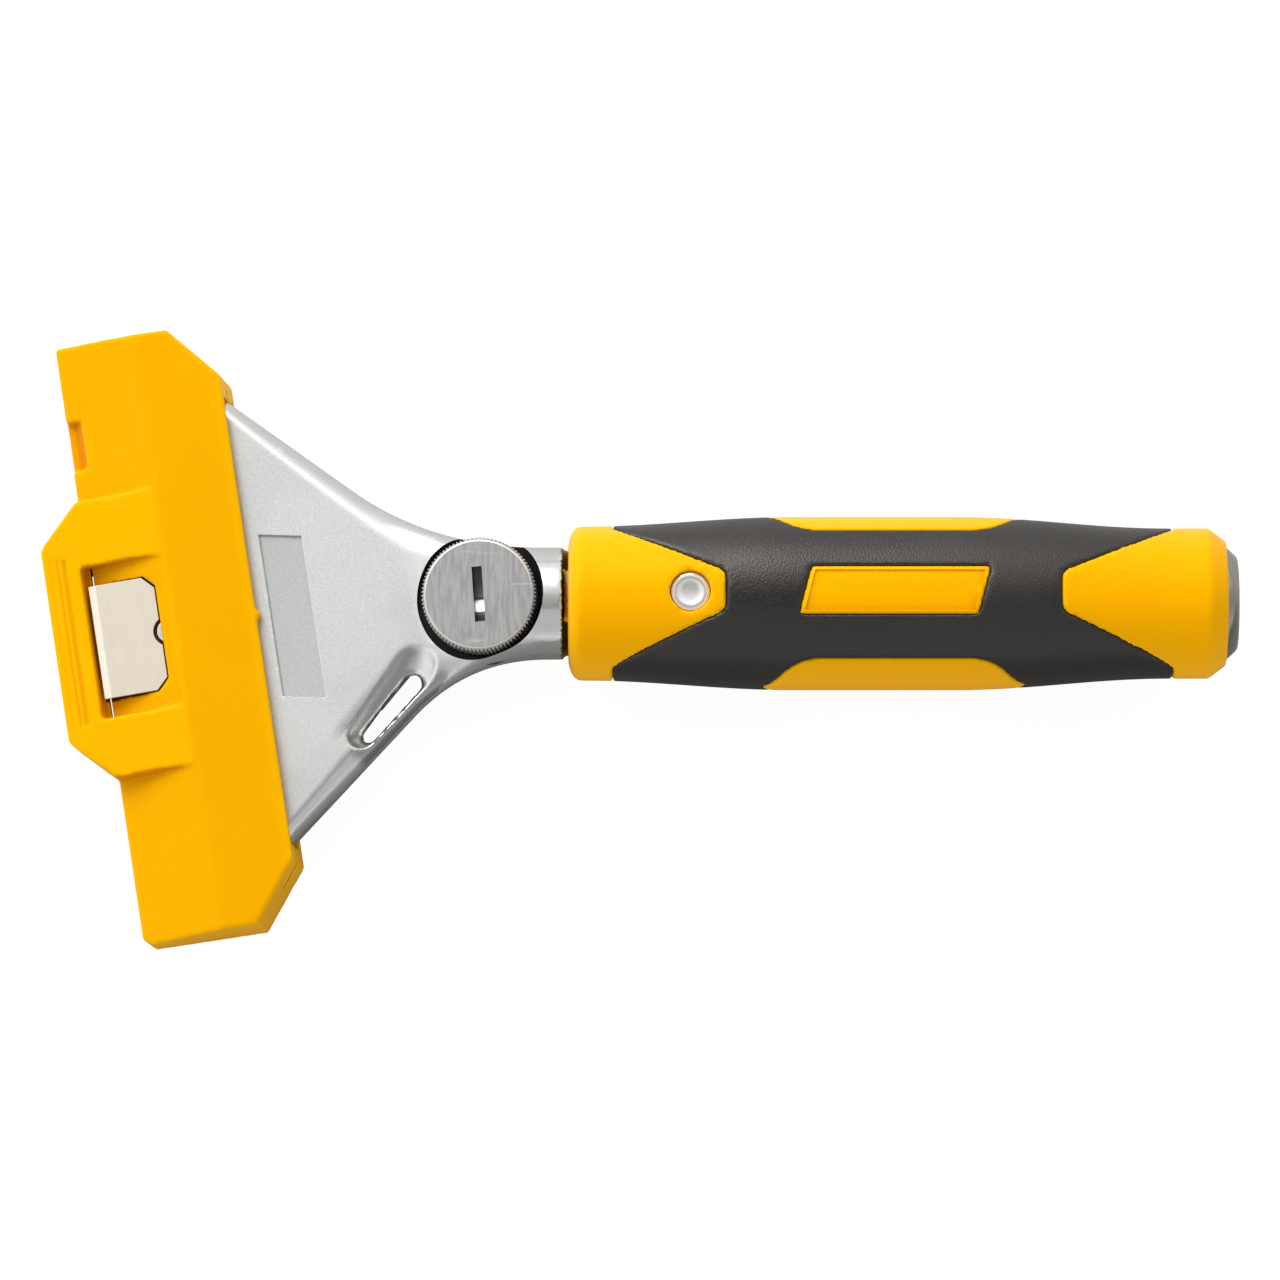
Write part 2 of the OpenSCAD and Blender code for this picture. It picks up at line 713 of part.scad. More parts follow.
module head_casting() {
    pocket_more = 2 * slot_pocket;
    sunk_half = sunk_l / 2;
    sunk_end = sunk_lean / 2;
    color("#C9CBC8")
        difference() {
            union() {
                head_form();
                spigot_form(0, neck_l + spigot_l);
            }
            bar(rod_d, rod_front, neck_l + spigot_l + past);
            translate([rivet_x, 0, -handle_r])
                cylinder(d = rivet_tube_d, h = handle_d);
            in_head() {
                slab(recess_floor, through)
                    circle(d = recess_d);
                slab(-through, through)
                    circle(d = stud_d + 2 * run_gap);
                slab(-through, web_under)
                    circle(d = web_pocket_d);
                intersection() {
                    plate_form(move_gap, -through, seat);
                    slab(-through, seat)
                        translate([-through, -through])
                            square([through + stud_d / 2, 2 * through]);
                }
                plate_form(move_gap, -through, -seat);
                slab(-through, seat)
                    translate([-through, -through])
                        square([through + blade_back + move_gap, 2 * through]);
                slab(-through, through)
                    at_slot()
                        polygon(drop(slot_l, slot_w, slot_tip_w));
                slab(-through, head_top - dish_depth - slot_web)
                    at_slot()
                        polygon(drop(slot_l + pocket_more, slot_w + pocket_more, slot_tip_w + pocket_more));
                slab(head_top - dish_depth, through)
                    at_slot()
                        translate([dish_ahead, dish_shift])
                            polygon(drop(dish_l, dish_w, dish_tip_w));
                slab(head_top - sunk_depth, through)
                    translate([guard_x1 + sunk_gap, blade_shift + sunk_shift])
                        polygon([[0, sunk_half + sunk_end], [0, sunk_end - sunk_half],
                            [sunk_w, -sunk_half - sunk_end], [sunk_w, sunk_half - sunk_end]]);
                slab(-past, seat + pin_in)
                    at_pins()
                        circle(d = pin_d);
            }
        }
}

module clamp_plate() {
    slope_x = -jaw_reach + plate_slope_l;
    relief_l = slot_l + 2 * move_gap;
    relief_half = slot_w / 2 + move_gap;
    color("#8F9294")
        in_head()
            difference() {
                plate_form(0, -plate_bottom, -seat);
                across(-through, through)
                    polygon([[-jaw_reach - past, -through], [-jaw_reach - past, -seat - plate_lip_t],
                        [-jaw_reach, -seat - plate_lip_t], [slope_x, -plate_bottom], [slope_x, -through]]);
                slab(-through, through)
                    at_slot()
                        translate([-relief_l / 2, -dish_w])
                            square([relief_l, dish_w + relief_half]);
                slab(-through, through)
                    at_pins()
                        circle(d = pin_d + 2 * move_gap);
                slab(-through, through)
                    circle(d = nut_d);
                slab(-seat - nut_flange_t, through)
                    circle(d = nut_flange_d);
            }
}

module clamp_nut() {
    color("#A8A9A6")
        in_head()
            difference() {
                union() {
                    slab(-seat - nut_l, -seat - nut_flange_t / 2)
                        circle(d = nut_d);
                    slab(-seat - nut_flange_t, -seat)
                        circle(d = nut_flange_d);
                }
                slab(-through, through)
                    circle(d = stud_d + 2 * run_gap);
            }
}

module clamp_knob() {
    knob_r = knob_d / 2;
    teeth = [for (i = [0 : 2 * knurl_n - 1])
        (knob_r - (i % 2) * knurl_depth) * [cos(180 * i / knurl_n), sin(180 * i / knurl_n)]];
    color("#B4B4B2")
        in_head()
            difference() {
                union() {
                    slab(knob_under, knob_top - knob_bevel)
                        polygon(teeth);
                    translate([0, 0, knob_top - knob_bevel])
                        cylinder(d1 = knob_flat_d + 2 * knob_bevel, d2 = knob_flat_d, h = knob_bevel);
                }
                slab(knob_top - coin_depth, through)
                    rotate(coin_turn)
                        square([coin_w, coin_l], center = true);
                slab(-through, knob_top - coin_depth - past)
                    circle(d = stud_d);
            }
}

module clamp_stud() {
    color("#9C9E9F")
        in_head() {
            slab(web_under, knob_top - coin_depth - past)
                circle(d = stud_d);
            slab(ring_under, web_under)
                circle(d = stud_d - 2 * ring_groove);
            slab(stud_end, ring_under)
                circle(d = stud_d);
        }
}

module screw_washer() {
    color("#D0D0CC")
        in_head()
            slab(recess_floor, knob_under)
                difference() {
                    circle(d = knob_flat_d);
                    circle(d = stud_d + 2 * run_gap);
                }
}

module retaining_ring() {
    color("#6E7072")
        in_head()
            slab(ring_under, web_under)
                difference() {
                    circle(d = ring_d);
                    circle(d = stud_d - 2 * ring_groove);
                }
}

module locating_pins() {
    color("#BFC0BE")
        in_head()
            slab(-plate_bottom, seat + pin_in)
                at_pins()
                    circle(d = pin_d);
}

module scraper_blade() {
    notch_w = pin_d + 2 * move_gap;
    color("#D9D8D2")
        in_head()
            difference() {
                across(blade_shift - blade_l / 2, blade_shift + blade_l / 2)
                    polygon([[blade_edge, 0], [blade_edge + blade_bevel, -seat], [blade_back, -seat],
                        [blade_back, seat], [blade_edge + blade_bevel, seat]]);
                slab(-past, past)
                    at_pins() {
                        circle(d = notch_w);
                        translate([0, -notch_w / 2])
                            square([blade_w, notch_w]);
                    }
            }
}

module core_rod() {
    color("#8A8C8E")
        difference() {
            bar(rod_d, rod_front, rod_end);
            translate([rivet_x, 0, -rod_d])
                cylinder(d = rivet_tube_d, h = 2 * rod_d);
        }
}

module handle_core() {
    color("#F7B500")
        difference() {
            handle_blank();
            grip_form(past);
            difference() {
                slab(-handle_d, handle_d)
                    panel_plan(panel_rim);
                handle_form(panel_sunk, grip_x0, grip_x1);
            }
            spigot_form(fixed_gap, neck_l + spigot_l + fixed_gap);
            bar(rod_d + 2 * fixed_gap, neck_l, stem_front + past);
            bar(cap_stem_d + 2 * fixed_gap, stem_front - fixed_gap, cap_seat);
            bar(cap_d + 2 * fixed_gap, cap_seat - cap_washer_t, handle_end + past);
            translate([rivet_x, 0, -handle_r])
                cylinder(d = rivet_tube_d, h = handle_d);
            for (side = [0, 1])
                mirror([0, 0, side])
                    translate([rivet_x, 0, rivet_top - rivet_head_t])
                        cylinder(d = rivet_d + 2 * fixed_gap, h = handle_d);
        }
}

module grip_sleeve() {
    color("#2F2B2A")
        grip_form(0);
}

// Flat rivet head with its dish, at the top of the handle
module rivet_head() {
    translate([0, 0, rivet_top - rivet_head_t])
        difference() {
            cylinder(d = rivet_d, h = rivet_head_t);
            translate([0, 0, rivet_head_t - rivet_dish])
                cylinder(d = rivet_tube_d, h = past);
        }
}

module handle_rivet() {
    tube_end = rod_d / 2;
    color("#E3E4E0")
        translate([rivet_x, 0, 0]) {
            rivet_head();
            translate([0, 0, -tube_end])
                difference() {
                    cylinder(d = rivet_tube_d, h = tube_end + rivet_top - rivet_head_t);
                    cylinder(d = rivet_post_d, h = 2 * tube_end);
                }
        }
}

module rivet_cap() {
    tube_end = rod_d / 2;
    color("#CFD0CC")
        translate([rivet_x, 0, 0]) {
            rotate([180, 0, 0]) {
                rivet_head();
                translate([0, 0, tube_end])
                    cylinder(d = rivet_tube_d, h = rivet_top - rivet_dish - tube_end);
                translate([0, 0, -tube_end])
                    cylinder(d = rivet_post_d, h = 3 * tube_end);
            }
        }
}

module strike_cap() {
    color("#9F9A92")
        difference() {
            along_handle()
                rotate_extrude()
                    polygon([[0, stem_front], [cap_stem_d / 2, stem_front], [cap_stem_d / 2, cap_seat],
                        [cap_d / 2, cap_seat], [cap_d / 2, handle_end], [cap_face_d / 2, cap_end],
                        [0, cap_end]]);
            bar(rod_d, stem_front - past, rod_end);
        }
}

module cap_washer() {
    color("#5C5E60")
        difference() {
            bar(cap_d, cap_seat - cap_washer_t, cap_seat);
            bar(cap_stem_d, cap_seat - cap_washer_t - past, cap_seat + past);
        }
}

// Outline of the small blade, grown by a gap
module mini_plan(gap) {
    half = mini_l / 2 + gap;
    back = mini_x1 + gap;
    translate([0, hump_y])
        polygon([[guard_x0, -half], [back - mini_cut, -half], [back, -half + mini_cut],
            [back, half - mini_cut], [back - mini_cut, half], [guard_x0, half]]);
}

// Peg with a flat against the rear wall of the small blade's seat
module peg_form(to) {
    intersection() {
        slab(mini_bottom - peg_in, to)
            translate([mini_x1 + mini_notch_out, hump_y])
                circle(d = peg_d);
        slab(mini_bottom - peg_in, to)
            mini_plan(mini_gap);
    }
}

// Outer body of the guard, without its hump
module guard_shell() {
    intersection() {
        slab(-through, through)
            polygon(guard_plan);
        across(guard_near - past, guard_far + far_out + past)
            polygon([[guard_x0, guard_under(guard_x0)], [guard_x1, guard_under(guard_x1)],
                [guard_x1, band_top], [crease_x, band_top], [guard_x0, front_top]]);
    }
}

// Hump with its window, slit and grip grooves
module guard_hump() {
    over = band_top + past;
    lean = (slit_x - window_x) / (hump_top(window_x) - front_top);
    difference() {
        intersection() {
            slab(-through, through)
                polygon(hump_plan);
            across(hump_y - hump_l, hump_y + hump_l)
                polygon([[hump_x - past, guard_under(hump_x - past)], [crease_x, guard_under(crease_x)],
                    [crease_x, band_top], [hump_x - past, hump_top(hump_x - past)]]);
        }
        across(hump_y - window_l / 2, hump_y + window_l / 2)
            polygon([[slit_x - lean * (over - front_top), over], [slit_x, front_top],
                [slit_x, -through], [guard_x0, -through], [guard_x0, front_top], [crease_x, band_top],
                [crease_x, over]]);
        for (i = [1 : groove_n])
            translate([hump_x + i * groove_gap, hump_y + hump_slip - hump_face_l / 2 + hump_corner,
                    hump_front_top - groove_depth])
                cube([groove_w, hump_face_l - 2 * hump_corner, past]);
    }
}

// Room in the guard for the jaws, the clamp plate and the blade
module guard_room() {
    drop = clamp_travel + guard_gap;
    jaw_front = -jaw_reach - guard_gap;
    slope_x = jaw_front + jaw_slope_l;
    plate_slope_x = jaw_front + plate_slope_l;
    back = guard_x1 + past;
    across(jaw_near - guard_gap, jaw_far + guard_gap)
        polygon([[back, room_top], [slope_x, room_top], [jaw_front, jaw_lip + guard_gap],
            [jaw_front, -seat - plate_lip_t - drop], [plate_slope_x, -plate_bottom - drop],
            [back, -plate_bottom - drop]]);
    across(blade_shift - blade_l / 2 - edge_gap, blade_shift + blade_l / 2 + edge_gap)
        polygon([[blade_edge - edge_gap, -seat], [blade_edge - edge_gap, seat],
            [blade_edge + blade_bevel, seat + guard_gap], [back, seat + guard_gap],
            [back, -seat - guard_gap], [blade_edge + blade_bevel, -seat - guard_gap]]);
}

module guard_body() {
    shelf_l = mini_l - 2 * mini_cut;
    shelf_x = guard_x0 + mini_bevel;
    notch_floor = seat + guard_gap + front_notch_t;
    notch_back = guard_x0 + front_notch_w;
    lean = front_notch_lean / (guard_top(notch_back) - notch_floor);
    color("#FBBB00")
        in_head()
            difference() {
                union() {
                    guard_shell();
                    guard_hump();
                    translate([shelf_x, hump_y - shelf_l / 2, front_top - past])
                        cube([mini_x1 - shelf_x, shelf_l, mini_bottom - front_top + past]);
                    translate([guard_x1 - past, hump_y - nub, room_top])
                        cube([past + nub, 2 * nub, band_top - guard_gap - room_top]);
                }
                guard_room();
                slab(mini_bottom, through)
                    mini_plan(mini_gap);
                across(guard_far - front_notch_at - front_notch_l, guard_far - front_notch_at)
                    polygon([[guard_x0 - past, notch_floor], [notch_back - front_notch_lean, notch_floor],
                        [notch_back + lean * (band_top - guard_top(notch_back)), band_top],
                        [guard_x0 - past, band_top]]);
                peg_form(mini_top);
            }
}

module mini_blade() {
    bevel_t = mini_t / 2;
    color("#E6DECF")
        in_head()
            difference() {
                slab(mini_bottom, mini_top)
                    mini_plan(0);
                slab(mini_bottom - past, mini_top + past)
                    translate([mini_x1 + mini_notch_out, hump_y])
                        circle(r = mini_notch_r);
                across(hump_y - mini_l, hump_y + mini_l)
                    polygon([[guard_x0, mini_top - bevel_t], [guard_x0 + mini_bevel, mini_top],
                        [guard_x0, mini_top + past], [guard_x0 - past, mini_top]]);
            }
}

module mini_blade_peg() {
    color("#B9BAB6")
        in_head()
            peg_form(mini_top - peg_low);
}

in_tool() head_casting();
in_tool() clamp_plate();
in_tool() clamp_nut();
in_tool() clamp_knob();
in_tool() clamp_stud();
in_tool() screw_washer();
in_tool() retaining_ring();
in_tool() locating_pins();
in_tool() scraper_blade();
in_tool() core_rod();
in_tool() handle_core();
in_tool() grip_sleeve();
in_tool() handle_rivet();
in_tool() rivet_cap();
in_tool() strike_cap();
in_tool() cap_washer();
in_tool() guard_body();
in_tool() mini_blade();
in_tool() mini_blade_peg();
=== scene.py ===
import json
import math
import bpy
from mathutils import Matrix, Vector


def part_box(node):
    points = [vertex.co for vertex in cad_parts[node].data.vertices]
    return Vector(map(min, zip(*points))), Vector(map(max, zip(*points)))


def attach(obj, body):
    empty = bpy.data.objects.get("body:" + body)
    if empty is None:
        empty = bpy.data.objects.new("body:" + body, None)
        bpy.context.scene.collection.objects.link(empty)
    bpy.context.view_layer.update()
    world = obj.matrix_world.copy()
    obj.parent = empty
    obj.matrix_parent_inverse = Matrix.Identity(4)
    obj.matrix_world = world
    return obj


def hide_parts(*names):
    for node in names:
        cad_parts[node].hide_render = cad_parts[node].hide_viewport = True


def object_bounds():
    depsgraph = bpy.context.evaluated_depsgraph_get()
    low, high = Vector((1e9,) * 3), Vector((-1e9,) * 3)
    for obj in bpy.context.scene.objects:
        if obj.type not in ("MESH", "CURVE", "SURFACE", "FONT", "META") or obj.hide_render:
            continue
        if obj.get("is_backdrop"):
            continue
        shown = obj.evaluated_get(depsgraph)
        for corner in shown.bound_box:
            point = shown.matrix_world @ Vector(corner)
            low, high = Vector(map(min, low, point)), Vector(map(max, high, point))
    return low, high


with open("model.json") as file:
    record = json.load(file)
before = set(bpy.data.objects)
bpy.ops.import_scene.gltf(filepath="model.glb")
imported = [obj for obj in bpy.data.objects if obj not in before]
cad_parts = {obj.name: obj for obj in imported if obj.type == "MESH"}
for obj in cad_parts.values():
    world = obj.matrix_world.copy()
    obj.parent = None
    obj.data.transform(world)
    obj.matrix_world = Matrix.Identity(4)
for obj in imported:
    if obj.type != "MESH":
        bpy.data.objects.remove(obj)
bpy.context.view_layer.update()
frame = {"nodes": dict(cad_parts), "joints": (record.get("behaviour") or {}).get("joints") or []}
mm = 0.001
mergeWithin = 0.001  # mm, corners closer than this become one
cadMerge = 0.002  # mm, the same for the CAD nodes' loose triangles
beyond = 40  # mm, where a cutter ends well outside the pieces
joints = {joint["name"]: joint for joint in frame["joints"]}

# head frame: x back from the edge, y along the blade, z out of the head's flat, zero at the knob
headUp = Vector(joints["knob_turn"]["axis"])
headBack = -Vector(joints["blade_slide"]["axis"])
headAlong = headUp.cross(headBack)
headPlace = Matrix((headBack, headAlong, headUp)).transposed().to_4x4()
headPlace.translation = Vector(joints["knob_turn"]["pos_m"])

# tool frame: x along the handle, zero on the handle's axis beside the knob
capLow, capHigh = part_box("strike_cap")
capEnd = 140.6
toolPlace = Matrix.Translation((capHigh.x - capEnd * mm, (capLow.y + capHigh.y) / 2,
                                (capLow.z + capHigh.z) / 2))
handlePlace = toolPlace @ Matrix.Rotation(math.pi / 2, 4, "Y")  # z of a turned piece lies along the handle
print("frame loaded:", len(frame["nodes"]), "nodes")


# modelling steps that every piece uses

def inMm(x, y, z):
    return Vector((x * mm, y * mm, z * mm))


def turnBy(degrees, axis):
    return Matrix.Rotation(math.radians(degrees), 4, axis)


def pickOnly(piece):
    if bpy.context.object and bpy.context.object.mode != "OBJECT":
        bpy.ops.object.mode_set(mode="OBJECT")
    bpy.ops.object.select_all(action="DESELECT")
    piece.select_set(True)
    bpy.context.view_layer.objects.active = piece


def pickAll():
    bpy.ops.mesh.select_all(action="SELECT")


def openMesh(piece):
    pickOnly(piece)
    bpy.ops.object.mode_set(mode="EDIT")
    pickAll()


def shutMesh():
    bpy.ops.object.mode_set(mode="OBJECT")


def choose(piece, kind, rule):
    # leaves the mesh open with only the chosen corners, edges or faces picked
    openMesh(piece)
    bpy.ops.mesh.select_mode(type=kind)
    bpy.ops.mesh.select_all(action="DESELECT")
    shutMesh()
    items = {"VERT": piece.data.vertices, "EDGE": piece.data.edges, "FACE": piece.data.polygons}[kind]
    for item in items:
        item.select = rule(item)
    bpy.ops.object.mode_set(mode="EDIT")


def newObject(name, data):
    made = bpy.data.objects.new(name, data)
    bpy.context.scene.collection.objects.link(made)
    return made


def newPiece(name):
    piece = bpy.context.object
    piece.name = name
    piece.data.name = name
    return piece


def settle(piece, place):
    pickOnly(piece)
    piece.matrix_basis = place
    bpy.ops.object.transform_apply(location=True, rotation=True, scale=True)


def addStep(piece, kind, **settings):
    step = piece.modifiers.new(kind.title(), kind)
    for name, value in settings.items():
        setattr(step, name, value)
    return step.name


def finishWith(piece, kind, **settings):
    pickOnly(piece)
    bpy.ops.object.modifier_apply(modifier=addStep(piece, kind, **settings))


def combine(piece, other, operation):
    finishWith(piece, "BOOLEAN", operation=operation, solver="EXACT", object=other)
    bpy.data.objects.remove(other)


def cutAway(piece, *cutters):
    for cutter in cutters:
        combine(piece, cutter, "DIFFERENCE")


def lofted(name, rings):
    # solid through closed rings of points, each with the same count
    bpy.ops.mesh.primitive_grid_add(x_subdivisions=len(rings[0]), y_subdivisions=len(rings) - 1, size=mm)
    piece = newPiece(name)
    for corner, point in zip(piece.data.vertices, [p for ring in rings for p in ring + ring[:1]]):
        corner.co = point
    openMesh(piece)
    bpy.ops.mesh.remove_doubles(threshold=mergeWithin * mm)
    bpy.ops.mesh.fill_holes(sides=0)
    pickAll()
    bpy.ops.mesh.normals_make_consistent(inside=False)
    shutMesh()
    return piece


def planSolid(name, plan, low, high, place):
    # flat outline in mm, raised from one height to another
    return lofted(name, [[place @ inMm(x, y, z) for x, y in plan] for z in (low, high)])


def spunPiece(name, outline, steps, place):
    # closed outline of radius and height in mm, turned once round z
    bpy.ops.mesh.primitive_circle_add(vertices=len(outline), radius=mm, fill_type="NOTHING")
    piece = newPiece(name)
    for corner, (r, z) in zip(piece.data.vertices, outline):
        corner.co = (r * mm, 0, z * mm)
    openMesh(piece)
    bpy.ops.mesh.spin(steps=steps, angle=math.tau, center=(0, 0, 0), axis=(0, 0, 1))
    pickAll()
    bpy.ops.mesh.remove_doubles(threshold=mergeWithin * mm)
    bpy.ops.mesh.delete_loose()
    pickAll()
    bpy.ops.mesh.normals_make_consistent(inside=False)
    shutMesh()
    settle(piece, place)
    return piece


def roundBar(radius, low, high, place, sides=96):
    bpy.ops.mesh.primitive_cylinder_add(vertices=sides, radius=radius * mm, depth=(high - low) * mm,
                                        location=(0, 0, (low + high) / 2 * mm))
    piece = newPiece("roundBar")
    bpy.ops.object.transform_apply(location=True, rotation=True, scale=True)
    settle(piece, place)
    return piece


def cadCopy(node, name):
    # merged copy of a node's loose triangles
    piece = newObject(name, frame["nodes"][node].data.copy())
    openMesh(piece)
    bpy.ops.mesh.customdata_custom_splitnormals_clear()
    bpy.ops.mesh.remove_doubles(threshold=cadMerge * mm)
    shutMesh()
    return piece


def soften(piece, voxel, rounds, place=None):
    # even skin with rounded edges, as a moulding has; its grid lies along the given place's axes
    if place:
        settle(piece, place.inverted())
    finishWith(piece, "REMESH", mode="VOXEL", voxel_size=voxel * mm, adaptivity=0)
    finishWith(piece, "SMOOTH", factor=0.5, iterations=rounds)
    if place:
        settle(piece, place)
    pickOnly(piece)
    bpy.ops.object.shade_smooth()


def mark(piece, name, rule):
    # value at each corner of the mesh, for the finish to use
    values = piece.data.attributes.new(name, "FLOAT", "POINT")
    values.data.foreach_set("value", [rule(v) for v in piece.data.vertices])


def smoothByAngle(piece, degrees):
    pickOnly(piece)
    bpy.ops.object.shade_smooth_by_angle(angle=math.radians(degrees))


def arc(x, y, radius, start, stop, steps=12):
    turns = [math.radians(start + (stop - start) * i / steps) for i in range(steps + 1)]
    return [(x + radius * math.cos(a), y + radius * math.sin(a)) for a in turns]


def drop(length, wide, tip):
    # outline with a wide round end ahead and a narrow one behind
    run = length - (wide + tip) / 2
    a = math.degrees(math.acos((tip - wide) / 2 / run))
    return arc(run / 2, 0, wide / 2, -a, a, 20) + arc(-run / 2, 0, tip / 2, a, 360 - a, 20)


def rounded(plan, radii):
    # outline with a radius at each corner
    points = []
    for i, radius in enumerate(radii):
        corner = Vector(plan[i])
        back = (Vector(plan[i - 1]) - corner).normalized()
        ahead = (Vector(plan[(i + 1) % len(plan)]) - corner).normalized()
        half = back.angle(ahead) / 2
        centre = corner + (back + ahead).normalized() * radius / math.sin(half)
        ends = [corner + way * radius / math.tan(half) - centre for way in (back, ahead)]
        start, stop = (math.degrees(math.atan2(end.y, end.x)) for end in ends)
        shortWay = start + (stop - start + 180) % 360 - 180
        points += arc(*centre, radius, start, shortWay) if radius else [tuple(corner)]
    return points


def finished(piece, body, slot, material, *nodes):
    piece.data.materials.clear()
    piece.data.materials.append(material)
    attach(piece, body)
    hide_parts(*nodes)
    print("made", piece.name, sum(len(f.vertices) - 2 for f in piece.data.polygons), "triangles")


# shader steps

def putNode(tree, kind, inputs=None, **settings):
    node = tree.nodes.new("ShaderNode" + kind)
    for name, value in settings.items():
        setattr(node, name, value)
    for name, value in (inputs or {}).items():
        if isinstance(value, bpy.types.NodeSocket):
            tree.links.new(value, node.inputs[name])
        else:
            node.inputs[name].default_value = value
    return node


def spread(tree, value, low, high, outLow=0.0, outHigh=1.0):
    node = putNode(tree, "MapRange", {"Value": value, "From Min": low, "From Max": high, "To Min": outLow,
                                      "To Max": outHigh}, interpolation_type="SMOOTHSTEP")
    return node.outputs["Result"]


def sums(tree, kind, a, b):
    return putNode(tree, "Math", {0: a, 1: b}, operation=kind, use_clamp=False).outputs[0]


def mixColours(tree, factor, a, b):
    return putNode(tree, "Mix", {0: factor, 6: a, 7: b}, data_type="RGBA").outputs[2]


def tinted(tree, colour, other, mask, share):
    return mixColours(tree, sums(tree, "MULTIPLY", mask, share), colour, other)


def around(tree, value, middle, below, above):
    return spread(tree, value, 0, 1, middle - below, middle + above)


def marked(tree, name):
    # value that mark() left on the mesh; nought where a piece has none
    return putNode(tree, "Attribute", attribute_name=name).outputs["Fac"]


def noise(tree, vector, scale, detail, **more):
    inputs = {"Vector": vector, "Scale": scale, "Detail": detail, **more}
    return putNode(tree, "TexNoise", inputs).outputs["Fac"]


def newGroup(name, inputs, outputs):
    # an input without a value is a vector, the others are numbers
    group = bpy.data.node_groups.new(name, "ShaderNodeTree")
    for socket, value in inputs.items():
        kind = "NodeSocketVector" if value is None else "NodeSocketFloat"
        made = group.interface.new_socket(socket, in_out="INPUT", socket_type=kind)
        if value is not None:
            made.default_value = value
    for socket in outputs:
        group.interface.new_socket(socket, in_out="OUTPUT", socket_type="NodeSocketFloat")
    return group, group.nodes.new("NodeGroupInput").outputs, group.nodes.new("NodeGroupOutput").inputs


# fine moulded or blasted grain: soft bumps with pits and sparkle between them
grainGroup, entry, leave = newGroup("fineGrain", {"Vector": None, "Scale": 1000.0, "Pits": 0.5},
                                    ("Height", "Fleck"))
coarse = noise(grainGroup, entry["Vector"], entry["Scale"], 2.0, Roughness=0.6)
cells = putNode(grainGroup, "TexVoronoi", {"Vector": entry["Vector"], "Scale": entry["Scale"]}, feature="F1")
pits = sums(grainGroup, "MULTIPLY", spread(grainGroup, cells.outputs["Distance"], 0.0, 0.6), entry["Pits"])
grainGroup.links.new(sums(grainGroup, "ADD", coarse, pits), leave["Height"])
grainGroup.links.new(spread(grainGroup, coarse, 0.35, 0.68), leave["Fleck"])

# traces of use: broad smudges and a few hairline scratches
marksGroup, entry, leave = newGroup("handlingMarks", {"Vector": None, "Scale": 40.0}, ("Smudge", "Scratch"))
cloud = noise(marksGroup, entry["Vector"], entry["Scale"], 4.0, Distortion=0.6)
marksGroup.links.new(spread(marksGroup, cloud, 0.38, 0.66), leave["Smudge"])
thin = putNode(marksGroup, "Mapping", {"Vector": entry["Vector"], "Rotation": (0.2, 0.3, 0.9),
                                       "Scale": (1.0, 14.0, 3.0)})
hair = noise(marksGroup, thin.outputs[0], entry["Scale"], 3.0, Distortion=0.3)
marksGroup.links.new(spread(marksGroup, hair, 0.66, 0.72), leave["Scratch"])

# long streaks left by brushing, grinding or turning
streakGroup, entry, leave = newGroup("brushedStreaks", {"Vector": None, "Scale": 300.0}, ("Streak", "Height"))
lines = noise(streakGroup, entry["Vector"], entry["Scale"], 5.0, Roughness=0.7)
streakGroup.links.new(spread(streakGroup, lines, 0.3, 0.7), leave["Streak"])
streakGroup.links.new(lines, leave["Height"])

# painted highlight on ridges and painted shade in hollows, from the bend of the skin itself
bendGroup, entry, leave = newGroup("skinBend", {"Gain": 8.0}, ("Ridge", "Hollow"))
shape = putNode(bendGroup, "NewGeometry").outputs["Pointiness"]
ridge = sums(bendGroup, "MULTIPLY", sums(bendGroup, "SUBTRACT", shape, 0.5), entry["Gain"])
hollow = sums(bendGroup, "MULTIPLY", sums(bendGroup, "SUBTRACT", 0.5, shape), entry["Gain"])
for value, name in ((ridge, "Ridge"), (hollow, "Hollow")):
    held = putNode(bendGroup, "Clamp", {"Value": value})
    bendGroup.links.new(held.outputs[0], leave[name])


def useGroup(tree, group, inputs):
    return putNode(tree, "Group", inputs, node_tree=group).outputs


def newFinish(look, skin):
    # material with its grain and traces of use; the skin is what its shader starts from
    material = bpy.data.materials.new(look["name"])
    material.use_nodes = True
    tree = material.node_tree
    for socket, value in skin.items():
        tree.nodes["Principled BSDF"].inputs[socket].default_value = value
    at = putNode(tree, "TexCoord").outputs["Object"]
    grain = useGroup(tree, grainGroup, {"Vector": at, "Scale": look["grain"], "Pits": look["pits"]})
    marks = useGroup(tree, marksGroup, {"Vector": at, "Scale": look["smudge"]})
    return material, tree, grain, marks


def dress(tree, look, colour, rough, height):
    bump = putNode(tree, "Bump", {"Height": height, "Strength": look["bump"],
                                  "Distance": look["bumpDeep"] * mm})
    skin = {"Base Color": colour, "Roughness": rough, "Normal": bump.outputs["Normal"]}
    for socket, value in skin.items():
        tree.links.new(value, tree.nodes["Principled BSDF"].inputs[socket])


# moulded yellow plastic: what the guard and the handle share, then each one's own look
# shares of the painted shade in hollows, the painted highlight on ridges and the painted light where the tone
# mark lies; shade is the darkest painted shade
yellowLook = {"pits": 0.3, "hollow": 0.75, "ridge": 0.5, "tone": 0.6, "shade": (0.05, 0.03, 0.012, 1),
              "roughSpread": (0.03, 0.04), "scratch": 0.08, "bumpDeep": 0.05}
yellowSkin = {"Specular Tint": (1.0, 0.78, 0.15, 1), "Subsurface Weight": 0.3,
              "Subsurface Radius": (1.0, 0.4, 0.05), "Subsurface Scale": 0.003}


